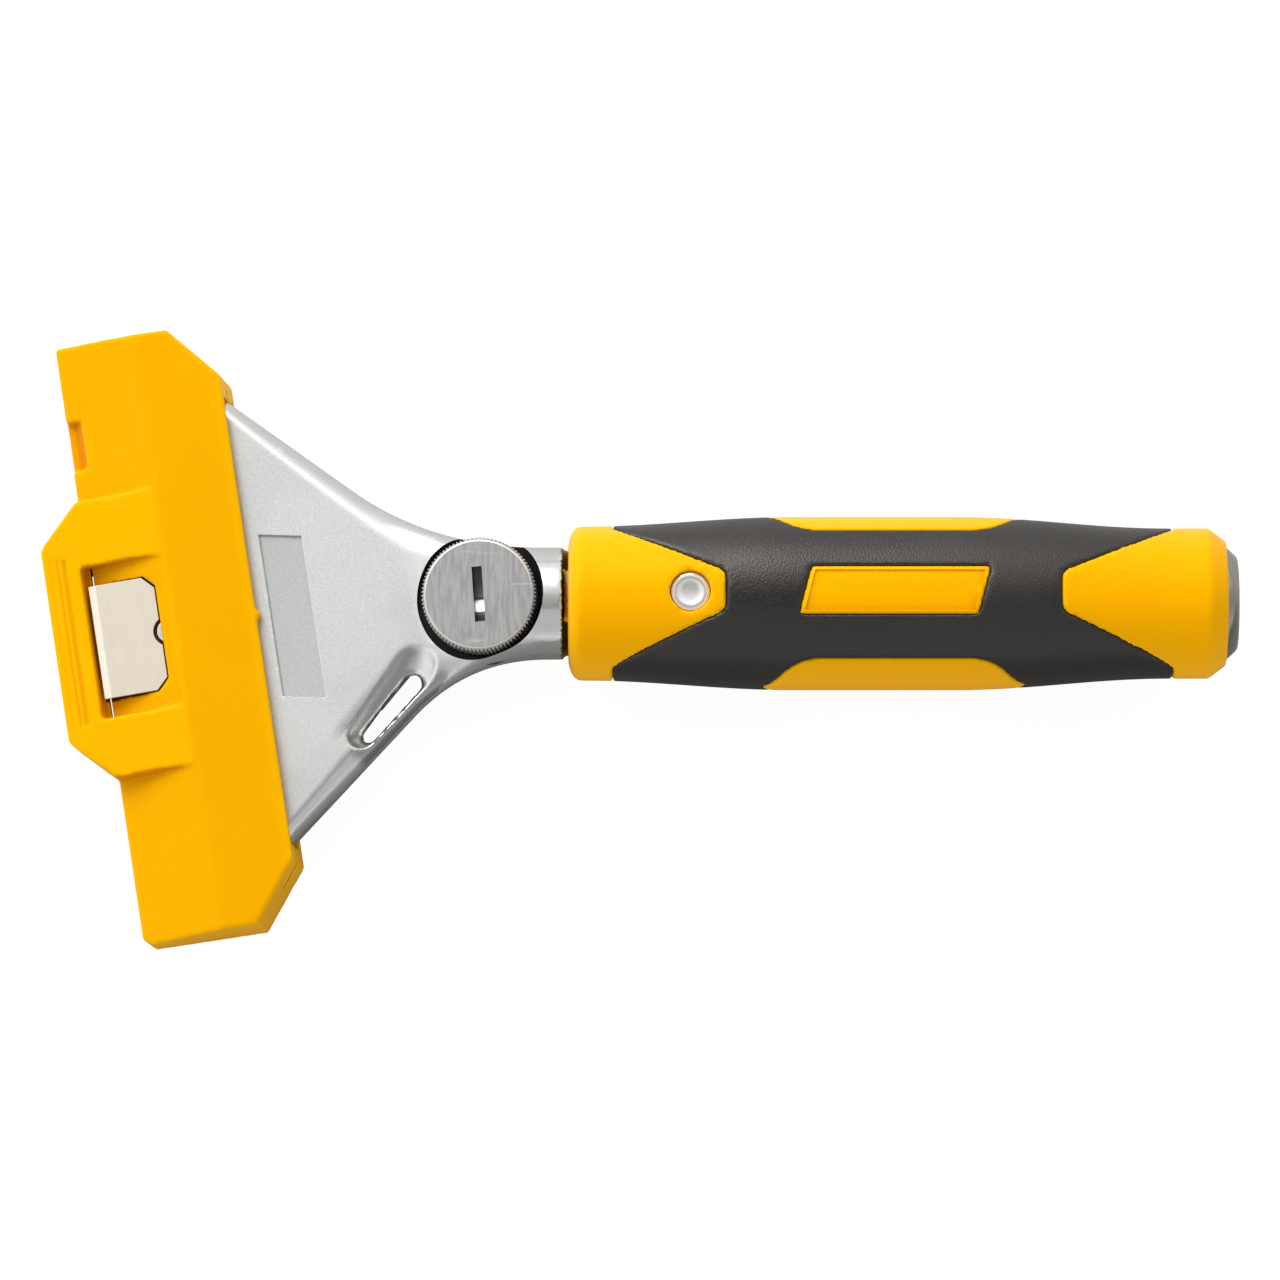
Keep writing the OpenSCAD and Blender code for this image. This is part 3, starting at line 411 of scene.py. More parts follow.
def yellowFinish(**ownLook):
    look = {**yellowLook, **ownLook}
    skin = {**yellowSkin, "Specular IOR Level": look["specular"]}
    material, tree, grain, marks = newFinish(look, skin)
    bend = useGroup(tree, bendGroup, {"Gain": look["bend"]})
    colour = mixColours(tree, marks["Smudge"], look["colour"], look["tint"])
    # painted shade in hollows, a painted highlight on ridges and painted light where the tone mark lies
    colour = tinted(tree, colour, look["deep"], bend["Hollow"], look["hollow"])
    colour = tinted(tree, colour, look["light"], bend["Ridge"], look["ridge"])
    colour = tinted(tree, colour, look["light"], marked(tree, "tone"), look["tone"])
    # painted shade where the deep mark lies: the deep colour, then near black
    recess = marked(tree, "deep")
    colour = mixColours(tree, spread(tree, recess, 0, 0.5), colour, look["deep"])
    colour = mixColours(tree, spread(tree, recess, 0.5, 1), colour, look["shade"])
    rough = sums(tree, "ADD", around(tree, marks["Smudge"], look["rough"], *look["roughSpread"]),
                 sums(tree, "MULTIPLY", marks["Scratch"], look["scratch"]))
    dress(tree, look, colour, rough, grain["Height"])
    return material


# deep is the colour of the painted shade, light the colour of the painted light and highlights
guardYellow = yellowFinish(name="guardYellow", colour=(0.855, 0.412, 0.0, 1), tint=(0.845, 0.4, 0.0, 1),
                           deep=(0.72, 0.24, 0.0, 1), light=(0.93, 0.49, 0.0, 1), rough=0.38, grain=2600,
                           smudge=28, bend=9.0, bump=0.1, specular=0.1)
handleYellow = yellowFinish(name="handleYellow", colour=(0.99, 0.462, 0.0, 1), tint=(0.985, 0.448, 0.0, 1),
                            deep=(0.58, 0.18, 0.0, 1), light=(1.0, 0.53, 0.01, 1), rough=0.34, grain=2200,
                            smudge=24, bend=8.0, bump=0.06, specular=0.13)

# soft black overmould
gripLook = {"name": "gripBlack", "colour": (0.005, 0.0048, 0.0044, 1), "dusty": (0.0075, 0.0072, 0.0067, 1),
            "fleck": (0.026, 0.025, 0.024, 1), "fleckShare": 0.3, "rough": 0.4, "roughSpread": (0.05, 0.06),
            "grain": 2400, "pits": 0.8, "smudge": 30.0, "bump": 0.7, "bumpDeep": 0.06}
gripSkin = {"Specular IOR Level": 0.68, "Specular Tint": (1.0, 0.93, 0.87, 1)}
gripBlack, tree, grain, marks = newFinish(gripLook, gripSkin)
colour = mixColours(tree, marks["Smudge"], gripLook["colour"], gripLook["dusty"])
colour = tinted(tree, colour, gripLook["fleck"], grain["Fleck"], gripLook["fleckShare"])
rough = around(tree, marks["Smudge"], gripLook["rough"], *gripLook["roughSpread"])
dress(tree, gripLook, colour, rough, grain["Height"])

# blasted die casting: speckled flats, smoother and brighter rims, painted shade in hollows, a painted
# highlight on ridges and near black painted shade where the deep mark lies; pairs are for rims and for flats
castLook = {"name": "castGrey", "rim": (0.77, 0.77, 0.755, 1), "flat": (0.7, 0.71, 0.7, 1),
            "fleck": (0.42, 0.43, 0.42, 1), "hollow": (0.28, 0.285, 0.28, 1),
            "ridge": (0.92, 0.925, 0.915, 1), "deep": (0.03, 0.03, 0.03, 1), "fleckShare": (0.25, 0.45),
            "hollowShare": (0.7, 0.12), "ridgeShare": 0.5, "rough": (0.3, 0.5), "neckRough": 0.19,
            "roughSpread": (0.03, 0.04), "grain": 4200, "pits": 0.6, "smudge": 35.0, "bend": 8.0,
            "grainShare": (0.5, 1.0), "bump": 0.3, "bumpDeep": 0.04}
castGrey, tree, grain, marks = newFinish(castLook, {"Metallic": 1.0})
flat = marked(tree, "flat")
shares = ("fleckShare", "hollowShare", "rough", "grainShare")
fleckShare, hollowShare, castRough, grainShare = [spread(tree, flat, 0, 1, *castLook[x]) for x in shares]
bend = useGroup(tree, bendGroup, {"Gain": castLook["bend"]})
colour = mixColours(tree, flat, castLook["rim"], castLook["flat"])
colour = tinted(tree, colour, castLook["fleck"], sums(tree, "SUBTRACT", 1.0, grain["Fleck"]), fleckShare)
# painted shade in hollows and a painted highlight on ridges
colour = tinted(tree, colour, castLook["hollow"], bend["Hollow"], hollowShare)
colour = tinted(tree, colour, castLook["ridge"], bend["Ridge"], castLook["ridgeShare"])
# near black painted shade where the deep mark lies
colour = mixColours(tree, marked(tree, "deep"), colour, castLook["deep"])
rough = sums(tree, "ADD", castRough, around(tree, marks["Smudge"], 0, *castLook["roughSpread"]))
smooth = spread(tree, marked(tree, "polish"), 0, 1, 0, castLook["neckRough"] - castLook["rough"][0])
rough = sums(tree, "ADD", rough, smooth)
dress(tree, castLook, colour, rough, sums(tree, "MULTIPLY", grain["Height"], grainShare))

# bare metals with brushed, ground or turned streaks: what they share, then each one's own look
skewTurn = (0, 0, -math.atan2(headBack.y, headBack.x))  # lines a pattern up with the blade
# light and shade are the colours of the painted light and the painted shade
metalLook = {"metal": 1.0, "turned": False, "turn": skewTurn, "stretch": (8.0, 0.4, 1.0), "scale": 260.0,
             "contrast": 0.5, "grain": 2600.0, "pits": 0.4, "smudge": 60.0, "smudgeShare": 0.25,
             "light": (0.95, 0.95, 0.93, 1), "shade": (0.03, 0.024, 0.024, 1), "roughSpread": (0.05, 0.06),
             "scratch": 0.1, "grainShare": 0.3, "bump": 0.1, "bumpDeep": 0.04}


def shifted(tree, at, middle):
    return putNode(tree, "VectorMath", {0: at, 1: middle}, operation="SUBTRACT").outputs[0]


def metalFinish(**ownLook):
    look = {**metalLook, **ownLook}
    material, tree, grain, marks = newFinish(look, {"Metallic": look["metal"]})
    at = putNode(tree, "TexCoord").outputs["Object"]
    if look["turned"]:  # rings round the handle's axis
        parts = putNode(tree, "SeparateXYZ", {0: shifted(tree, at, toolPlace.translation)}).outputs
        squares = [sums(tree, "MULTIPLY", parts[axis], parts[axis]) for axis in "YZ"]
        ring = putNode(tree, "Math", {0: sums(tree, "ADD", *squares)}, operation="SQRT").outputs[0]
        way = putNode(tree, "CombineXYZ", {"X": ring, "Y": parts["X"]})
    else:
        way = putNode(tree, "Mapping", {"Vector": at, "Rotation": look["turn"], "Scale": look["stretch"]})
    streak = useGroup(tree, streakGroup, {"Vector": way.outputs[0], "Scale": look["scale"]})
    colour = tinted(tree, look["colour"], look["dark"], streak["Streak"], look["contrast"])
    colour = tinted(tree, colour, look["dark"], marks["Smudge"], look["smudgeShare"])
    if "edge" in look:  # ground strip along the cutting edge
        offset = shifted(tree, at, headPlace.translation)
        behind = putNode(tree, "VectorMath", {0: offset, 1: headBack}, operation="DOT_PRODUCT")
        ground, flat = (x * mm for x in look["edge"])
        colour = mixColours(tree, spread(tree, behind.outputs["Value"], flat, ground), colour, look["bright"])
    # painted light where the tone mark lies, painted shade where the deep mark lies
    colour = mixColours(tree, marked(tree, "tone"), colour, look["light"])
    colour = mixColours(tree, marked(tree, "deep"), colour, look["shade"])
    rough = sums(tree, "ADD", around(tree, streak["Streak"], look["rough"], *look["roughSpread"]),
                 sums(tree, "MULTIPLY", marks["Scratch"], look["scratch"]))
    height = sums(tree, "ADD", streak["Height"], sums(tree, "MULTIPLY", grain["Height"], look["grainShare"]))
    dress(tree, look, colour, rough, height)
    return material


knobSatin = metalFinish(name="knobSatin", colour=(0.53, 0.525, 0.515, 1), dark=(0.43, 0.425, 0.415, 1),
                        rough=0.38, scale=300.0, stretch=(6.0, 0.6, 1.0), contrast=0.18, bump=0.08)
bladeSteel = metalFinish(name="bladeSteel", colour=(0.7, 0.68, 0.64, 1), dark=(0.58, 0.56, 0.52, 1),
                         rough=0.3)
spareSteel = metalFinish(name="spareSteel", colour=(0.74, 0.675, 0.56, 1), dark=(0.685, 0.622, 0.512, 1),
                         metal=0.35, rough=0.42, edge=(-71.7, -71.5), bright=(0.87, 0.81, 0.69, 1))
rivetBright = metalFinish(name="rivetBright", colour=(0.86, 0.87, 0.85, 1), dark=(0.76, 0.77, 0.75, 1),
                          metal=0.6, rough=0.22, scale=240.0, turn=(0, 0, 0), stretch=(3.0, 3.0, 1.0),
                          contrast=0.4, bump=0.06)
capTurned = metalFinish(name="capTurned", colour=(0.4, 0.372, 0.335, 1), dark=(0.29, 0.268, 0.242, 1),
                        rough=0.2, scale=1500.0, turned=True, contrast=0.7, bump=0.15)
plateSteel = metalFinish(name="plateSteel", colour=(0.5, 0.51, 0.52, 1), dark=(0.38, 0.39, 0.4, 1),
                         rough=0.38, scale=220.0, stretch=(0.5, 7.0, 1.0), contrast=0.6, bump=0.12)
plainSteel = metalFinish(name="plainSteel", colour=(0.55, 0.55, 0.54, 1), dark=(0.42, 0.42, 0.41, 1),
                         rough=0.32, scale=400.0, turn=(0, 0, 0), stretch=(1.0, 1.0, 6.0), contrast=0.6)
print("finishes ready:", len(bpy.data.materials))


# die-cast head: sections from the round neck to the wide jaws, then the openings
castHead = {"neckLength": 14.5, "neckRadius": 10.5, "neckEdge": 0.4, "skew": 8.8, "jawWidth": 85.0,
            "jawReach": 64.5, "fanBack": 22.2, "bladeShift": 3.4, "longSweep": 58.0, "longStart": 9.0,
            "shortSweep": 34.0, "shortStart": 11.6, "rimMid": 6.6, "rimJaw": 3.6, "rimRoom": 0.1, "top": 5.2,
            "under": 3.2, "slope": 12.0, "lip": 1.6, "flatFrom": 0.8, "sweepSteps": 40, "sideSteps": 8,
            "rimSteps": 12, "voxel": 0.4, "rounds": 5, "spigot": (9.8, 13.5, 45.5), "spigotFlat": 8.6}


def mixed(a, b, t):
    return a + (b - a) * t


def eased(t):
    return (1 - math.cos(math.pi * min(1, max(0, t)))) / 2


def ramp(value, start, run):
    # eased way from 0 at the start to 1 after the run, which may be negative
    return eased((value - start) / run)


def turned(p, degrees):
    a = math.radians(degrees)
    return Vector((p.x * math.cos(a) - p.y * math.sin(a), p.x * math.sin(a) + p.y * math.cos(a)))


def headSections(c):
    def jawPoint(x, side):
        return turned(Vector((x, c["bladeShift"] + side * c["jawWidth"] / 2)), c["skew"])

    def sweepTurn(p, start, r):
        d = p - Vector((start, c["neckRadius"] + r))
        lead = math.degrees(math.atan2(d.y, d.x))
        touch = math.degrees(math.atan2(r, math.sqrt(d.length_squared - r * r)))
        return 180 + touch - lead - (360 if lead < 0 else 0)

    def sweepPoint(start, r, degrees):
        a = math.radians(degrees)
        return Vector((start - r * math.sin(a), c["neckRadius"] + r * (1 - math.cos(a))))

    def flipped(p):
        return Vector((p.x, -p.y))

    far, near = (jawPoint(-c["jawReach"] + c["fanBack"], side) for side in (1, -1))
    longTurn = sweepTurn(far, c["longStart"], c["longSweep"])
    shortTurn = sweepTurn(flipped(near), c["shortStart"], c["shortSweep"])
    r = c["neckRadius"]
    neck = (c["neckLength"], c["neckLength"] - c["neckEdge"])
    rows = [(Vector((x, r)), Vector((x, -r)), r, r, r, 0) for x in neck]
    for i in range(c["sweepSteps"] + 1):
        t = i / c["sweepSteps"]
        flat = eased(t / c["flatFrom"])
        rows.append((sweepPoint(c["longStart"], c["longSweep"], longTurn * t),
                     flipped(sweepPoint(c["shortStart"], c["shortSweep"], shortTurn * t)),
                     mixed(r, c["rimMid"], t), mixed(r, c["top"], flat), mixed(r, c["under"], flat), flat))
    for i in range(1, c["sideSteps"] + 1):
        t = i / c["sideSteps"]
        rows.append((mixed(sweepPoint(c["longStart"], c["longSweep"], longTurn), far, t),
                     mixed(flipped(sweepPoint(c["shortStart"], c["shortSweep"], shortTurn)), near, t),
                     mixed(c["rimMid"], c["rimJaw"], t), c["top"], c["under"], 1))
    for x, top in ((-c["jawReach"] + c["slope"], c["top"]), (-c["jawReach"], c["lip"])):
        rows.append((jawPoint(x, 1), jawPoint(x, -1), c["rimJaw"], top, c["under"], 1))
    return rows


def headRing(c, row):
    *edges, rimWide, above, below, flat = row
    span = edges[1] - edges[0]
    rim = min(rimWide, span.length / 2 - c["rimRoom"])
    n = c["rimSteps"]

    def skinPoint(edge, i, height):
        a = math.pi / 2 * i / n
        p = edges[edge] + span.normalized() * (rim * (1 - math.cos(a)) * (1 if edge == 0 else -1))
        b = turned(p, -c["skew"])
        level = mixed(toolPlace @ inMm(p.x, p.y, 0), headPlace @ inMm(b.x, b.y, 0), flat)
        return level + mixed(Vector((0, 0, 1)), headUp, flat) * (height * math.sin(a) * mm)

    ring = [skinPoint(0, i, above) for i in range(n + 1)]
    ring += [skinPoint(1, i, above) for i in range(n, -1, -1)]
    ring += [skinPoint(1, i, -below) for i in range(1, n + 1)]
    ring += [skinPoint(0, i, -below) for i in range(n, 0, -1)]
    return ring


rings = [headRing(castHead, row) for row in headSections(castHead)]
casting = lofted("dieCastHead", rings)

spigot = roundBar(*castHead["spigot"], handlePlace)
openMesh(spigot)
for side in (-1, 1):  # two flats key it in the handle
    pickAll()
    bpy.ops.mesh.bisect(plane_co=toolPlace @ inMm(0, 0, side * castHead["spigotFlat"]), plane_no=(0, 0, side),
                        use_fill=True, clear_outer=True)
shutMesh()
combine(casting, spigot, "UNION")

# the bowl's rows: share of the way from the slot to the dish, height over the web or over the top
openings = {"recess": 12.3, "recessTuck": (1.2, -82.0, 30.0), "recessFloor": 4.0, "bore": 4.06,
            "pocket": 7.0, "pocketTop": 1.0, "seat": 0.4, "nutRoom": 9.0, "bladeBack": -48.6,
            "bladeFront": -120, "bladeHalf": 90,
            "plateRoom": [(-50, 32.8), (-50, -26.0), (0, -9.0), (0, 9.0)], "plateLow": -38,
            "plateStep": 0.02, "slotAt": (-17.6, -20.4), "slotTurn": 50.0, "slot": (16.0, 3.8, 2.7),
            "dish": (23.2, 8.5, 5.0), "dishShift": (0.8, 0.8), "web": (1.8, 3.0), "webRoom": 1.0,
            "bowlLow": ((0.0, -0.6), (0.14, 0.05), (0.42, 0.45), (0.74, 1.2)),
            "bowlTop": ((1.0, 0), (1.1, 0.8)),
            "panel": [(-39.8, 19.2), (-39.8, -11.8), (-31.9, -13.4), (-31.9, 17.6)], "panelDeep": 0.5}
front, back, half = openings["bladeFront"], openings["bladeBack"], openings["bladeHalf"]
bladePlan = [(front, -half), (back, -half), (back, half), (front, half)]
cutAway(casting, roundBar(openings["bore"], -beyond, beyond, headPlace, sides=48),
        roundBar(openings["pocket"], -beyond, openings["pocketTop"], headPlace, sides=64),
        roundBar(openings["nutRoom"], -beyond, -openings["seat"], headPlace, sides=64),
        planSolid("plateRoom", openings["plateRoom"], openings["plateLow"],
                  openings["seat"] - openings["plateStep"], headPlace),
        planSolid("bladeRoom", bladePlan, -beyond, openings["seat"], headPlace))
slotPlace = headPlace @ turnBy(-castHead["skew"], "Z") @ Matrix.Translation(inMm(*openings["slotAt"], 0))
slotPlace = slotPlace @ turnBy(openings["slotTurn"], "Z")
webLow, webHigh = openings["web"]
shiftX, shiftY = openings["dishShift"]
bowlRows = [(share, webHigh + rise) for share, rise in openings["bowlLow"]]
bowlRows += [(share, castHead["top"] + rise) for share, rise in openings["bowlTop"]]
bowl = []
for share, z in bowlRows:
    size = [mixed(slot, dish, share) for slot, dish in zip(openings["slot"], openings["dish"])]
    bowl.append([slotPlace @ inMm(x + shiftX * share, y + shiftY * share, z) for x, y in drop(*size)])
pocketSize = [size + 2 * openings["webRoom"] for size in openings["slot"]]
cutAway(casting, lofted("slotBowl", bowl),
        planSolid("slotThrough", drop(*openings["slot"]), -beyond, beyond, slotPlace),
        planSolid("slotPocket", drop(*pocketSize), -beyond, webLow, slotPlace))
soften(casting, castHead["voxel"], castHead["rounds"], headPlace)
tuck, tuckAt, tuckWide = openings["recessTuck"]
recessPlan = []
for degrees in range(-180, 180, 2):
    r = openings["recess"] - tuck * math.exp(-((degrees - tuckAt) / tuckWide) ** 2)
    recessPlan.append((r * math.cos(math.radians(degrees)), r * math.sin(math.radians(degrees))))
sunkFloor = castHead["top"] - openings["panelDeep"]
cutAway(casting, planSolid("sunkPanel", openings["panel"], sunkFloor, beyond, headPlace),
        planSolid("knobRecess", recessPlan, openings["recessFloor"], beyond, headPlace))
smoothByAngle(casting, 40)

# values for the casting's finish, in mm of the head: painted shade in the knob's recess, in the neck's gap,
# on the bowl's far wall and in a band beside it, and a darker floor in the sunk panel; pairs are a low and a
# high end, or a start and a run
castMarks = {"panelX": (-40, -31.7), "panelY": (-14, 20), "panelNear": 0.02, "level": (0.955, 0.04),
             "skin": (4.2, 0.4), "recessOver": (0.02, 0.1), "gap": 0.3, "spigotZ": (8.3, 8.9),
             "spigotHalf": 4.8, "panelRear": -30, "panelShade": 0.13, "slotLow": 1.6, "slotOver": 0.3,
             "wallY": (-4.4, 5.4), "wallUnder": 0.12, "wallShade": 0.5, "wallFacing": (0.05, 0.45),
             "wallMiddle": 0.5, "wallEnds": (12.8, -2.5), "bandFrom": 3.6, "bandShade": 0.42,
             "bandOut": (6.4, -2.4), "bandStart": (-12, 5), "bandEnd": (13, -4), "polish": (8, 3)}
toHead = headPlace.inverted()
toHandle = toolPlace.inverted()
toSlot = slotPlace.inverted()


def within(value, ends):
    return ends[0] < value < ends[1]


def castFlat(v):
    look = castMarks
    p = toHead @ v.co / mm
    onFloor = abs(p.z - sunkFloor) < look["panelNear"]
    if onFloor and within(p.x, look["panelX"]) and within(p.y, look["panelY"]):
        return 1.0
    return ramp(v.normal.dot(headUp), *look["level"]) * ramp(p.z, *look["skin"])


def castPaintedShade(v):
    look = castMarks
    p = toHead @ v.co / mm
    beside, over = look["recessOver"]
    inRecess = math.hypot(p.x, p.y) < openings["recess"] + beside and 0 < p.z < openings["recessFloor"] + over
    atHandle = toHandle @ v.co / mm
    low, high = look["spigotZ"]
    onSpigotFlat = low <= atHandle.z <= high and abs(atHandle.y) <= look["spigotHalf"]
    inGap = atHandle.x > castHead["neckLength"] - look["gap"] and not onSpigotFlat
    # painted shade, near black, in the knob's recess and in the gap at the neck
    if inRecess or inGap:
        return 1.0
    if castFlat(v) == 1.0 and p.z < sunkFloor + openings["panelDeep"] / 2 and p.x < look["panelRear"]:
        return look["panelShade"]
    # painted shade on the bowl's far wall where it faces away, and in a band just outside the bowl
    q = toSlot @ v.co / mm  # far wall of the bowl and the skin just outside it
    if not look["slotLow"] < q.z < castHead["top"] + look["slotOver"]:
        return 0.0
    if within(q.y, look["wallY"]) and q.z < castHead["top"] - look["wallUnder"]:
        facing = -v.normal.dot(slotPlace.to_3x3().col[1])
        ends = ramp(abs(q.x - look["wallMiddle"]), *look["wallEnds"])
        return look["wallShade"] * ramp(facing, *look["wallFacing"]) * ends
    if q.y <= look["bandFrom"]:
        return 0.0
    ends = ramp(q.x, *look["bandStart"]) * ramp(q.x, *look["bandEnd"])
    return look["bandShade"] * ramp(q.y, *look["bandOut"]) * ends


def castPolish(v):
    return ramp((toHandle @ v.co).x / mm, *castMarks["polish"])


mark(casting, "flat", castFlat)
mark(casting, "deep", castPaintedShade)
mark(casting, "polish", castPolish)
finished(casting, "handle_and_head", "casting", castGrey, "head_casting")

# blade guard: moulding with rounded edges, the foot of its window slit through
guardLook = {"voxel": 0.4, "rounds": 4, "thin": 0.6, "slit": (-72.45, -72.05), "slitEnds": (-10.45, 18.45),
             "slitTop": 4.0, "slitDeep": 30, "seat": (-73.0, -60.4, 4.0, 11.05, 2.2), "seatFloor": 5.34,
             "seatOpen": 30, "notch": (-73.2, -69.6, 37.5, 46.7), "grooves": (-79.3, 1.25, 3),
             "groove": (0.8, 0.13, 16.0), "barTop": 6.47, "barRise": 0.047, "hump": (-57.6, 4.6, 26.3),
             "window": 14.45, "rear": -42.3}
guard = cadCopy("guard_body", "bladeGuard")
soften(guard, guardLook["voxel"], guardLook["rounds"], headPlace)
finishWith(guard, "DECIMATE", ratio=guardLook["thin"])
(x0, x1), (y0, y1) = guardLook["slit"], guardLook["slitEnds"]
slitPlan = [(x0, y0), (x1, y0), (x1, y1), (x0, y1)]
slitTop = [headPlace @ inMm(x, y, guardLook["slitTop"]) for x, y in slitPlan]
slitFoot = [p - inMm(0, 0, guardLook["slitDeep"]) for p in slitTop]
seatFront, seatRear, seatMid, seatHalf, seatCut = guardLook["seat"]
seatSide = [(seatFront, seatHalf), (seatRear - seatCut, seatHalf), (seatRear, seatHalf - seatCut)]
seatPlan = [(x, seatMid - y) for x, y in seatSide] + [(x, seatMid + y) for x, y in seatSide[::-1]]
cutAway(guard, lofted("windowSlit", [slitTop, slitFoot]),
        planSolid("bladeSeat", seatPlan, guardLook["seatFloor"], guardLook["seatOpen"], headPlace))
crease, humpMid, humpHalf = guardLook["hump"]
first, gap, count = guardLook["grooves"]
radius, deep, long = guardLook["groove"]
for i in range(count):
    level = guardLook["barTop"] + guardLook["barRise"] * i * gap + radius - deep
    groovePlace = headPlace @ Matrix.Translation(inMm(first + i * gap, humpMid, level))
    groovePlace = groovePlace @ turnBy(90, "X")
    cutAway(guard, roundBar(radius, -long, long, groovePlace, sides=32))

# values for the guard's finish, in mm of the head: painted shade on the seat, in the notch and on the walls,
# painted light on the hump and a painted highlight along the rear edge
guardMarks = {"seatPad": 0.1, "seatLow": 2, "seatOver": 0.03, "notchLow": 0.5, "notchTop": (2.6, 0.29, -73),
              "notchStep": -71.7, "notchShade": 0.5, "stepShade": 0.22, "wallShade": 0.33, "wallLevel": 0.8,
              "humpSkin": (6.2, -81), "humpRear": (0.5, -1.5), "humpSide": -0.5, "rearHighlight": 0.8,
              "rearFade": (2.4, 2.2)}
# walls in shade: front and rear end, middle and half width, lowest height
beforeCrease = crease - 1.5
shadedWalls = ((-74.5, beforeCrease, seatMid + guardLook["window"], 0.45, 2.8),
               (-74.7, -72.8, seatMid, guardLook["window"] + 0.2, 2.5),
               (seatFront, beforeCrease, humpMid - humpHalf, 0.6, 2.8))


# painted shade on the seat under the small blade, in the notch and on the window's walls
def guardShade(v):
    look = guardMarks
    p = toHead @ v.co / mm
    pad = look["seatPad"]
    inSeat = seatFront - pad < p.x < seatRear + pad and abs(p.y - seatMid) < seatHalf + pad
    if inSeat and look["seatLow"] < p.z < guardLook["seatFloor"] + look["seatOver"]:
        return 1.0
    front, rear, near, far = guardLook["notch"]
    top, rise, start = look["notchTop"]
    inNotch = front < p.x < rear and near < p.y < far
    if inNotch and look["notchLow"] < p.z < top + rise * (p.x - start):
        return look["notchShade"] if p.x > look["notchStep"] else look["stepShade"]
    if v.normal.dot(headUp) < look["wallLevel"]:
        for front, rear, middle, half, low in shadedWalls:
            if front < p.x < rear and abs(p.y - middle) < half and p.z > low:
                return look["wallShade"]
    return 0.0


def guardPaintedLight(v):
    look = guardMarks
    p = toHead @ v.co / mm
    # painted highlight along the rear edge, painted light on the hump's top
    past, run = look["rearFade"]
    tone = look["rearHighlight"] * ramp(p.x, guardLook["rear"] - past, run)
    low, start = look["humpSkin"]
    if p.z > low + guardLook["barRise"] * (p.x - start):
        past, run = look["humpRear"]
        onHump = ramp(p.x, crease + past, run) * ramp(abs(p.y - humpMid), humpHalf, look["humpSide"])
        tone = max(tone, onHump)
    return tone


mark(guard, "deep", guardShade)
mark(guard, "tone", guardPaintedLight)
smoothByAngle(guard, 40)
finished(guard, "guard", "guard_plastic", guardYellow, "guard_body")

# handle: hard core and soft sleeve, from one turned form with the same windows
handleLook = {"start": 15.4, "end": 138.4, "frontRadius": 14.4, "bellyRadius": 16.2, "rearRadius": 14.05,
              "frontRound": 2.3, "frontTall": 4.5, "frontSwell": 40.0, "belly": 30.0, "rearSwell": 40.0,
              "chamfer": 3.4, "rearFace": 11.5, "gripFrom": 23.8, "gripTo": 128.2, "gripThick": 2.2,
              "gripOver": 1.0, "tongue": (21.0, 26.4, 7.6, 2.0), "tongueFoot": (0.02, 0.72), "root": 1.1,
              "panelAt": 76.2, "panel": (33.3, 9.4, 2.4), "panelRim": 0.9, "sunk": 0.3,
              "sunkSpan": (50, 102), "strip": (49.5, 37.5, 21.0, 8.0), "spigotRoom": (9.85, 45.55),
              "rodRoom": 4.55, "stemRoom": (7.05, 117.35), "capRoom": (10.55, 132.4), "runStep": 1.5,
              "wallStep": 0.7, "wallRadii": (6, 12, 20, 50), "voxel": 0.5, "rounds": 4, "steps": 128}
h = handleLook
# the rivet's dish as radius and depth under its top, its edge as inset and depth
rivetLook = {"at": 38.2, "radius": 3.65, "thick": 1.6, "tube": 2.5, "room": 0.15,
             "dish": ((0, 0.3), (1.5, 0.28), (2.1, 0.16), (2.45, 0.03), (2.75, 0)),
             "edge": ((0.3, 0.05), (0.06, 0.2), (0, 0.45))}
rivetTop = (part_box("handle_rivet")[1].z - toolPlace.translation.z) / mm
rivetPlace = toolPlace @ Matrix.Translation((rivetLook["at"] * mm, 0, 0))


def handleRadius(x):
    front = x - h["start"] - h["frontRound"]
    rear = front - h["frontSwell"] - h["belly"]
    belly = mixed(h["frontRadius"], h["bellyRadius"], eased(front / h["frontSwell"]))
    return mixed(belly, h["rearRadius"], eased(rear / h["rearSwell"]))


def handleRun(low, high, inset=0.0):
    count = round((high - low) / h["runStep"])
    return [(handleRadius(x) - inset, x) for x in (mixed(low, high, i / count) for i in range(count + 1))]


def handleWindow(outline, turn):
    # cutter with walls square to the skin; the outline is seen from outside
    at = toolPlace @ turnBy(turn, "X")
    ways = []
    for i, (x, side) in enumerate(outline):
        start = outline[i - 1]
        count = max(1, math.ceil(math.dist(start, (x, side)) / h["wallStep"]))
        for k in range(1, count + 1):
            along, off = mixed(start[0], x, k / count), mixed(start[1], side, k / count)
            ways.append((along, math.asin(off / handleRadius(along))))
    rings = []
    for r in h["wallRadii"]:
        rings.append([at @ inMm(x, r * math.sin(a), r * math.cos(a)) for x, a in ways])
    return lofted("handleWindow", rings)


def panelPlan(rim):
    at, (long, wide, lean) = h["panelAt"], h["panel"]
    l, w = long / 2 - rim, wide / 2 - rim
    lean *= w / wide
    return [(at - l - lean, -w), (at + l - lean, -w), (at + l + lean, w), (at - l + lean, w)]


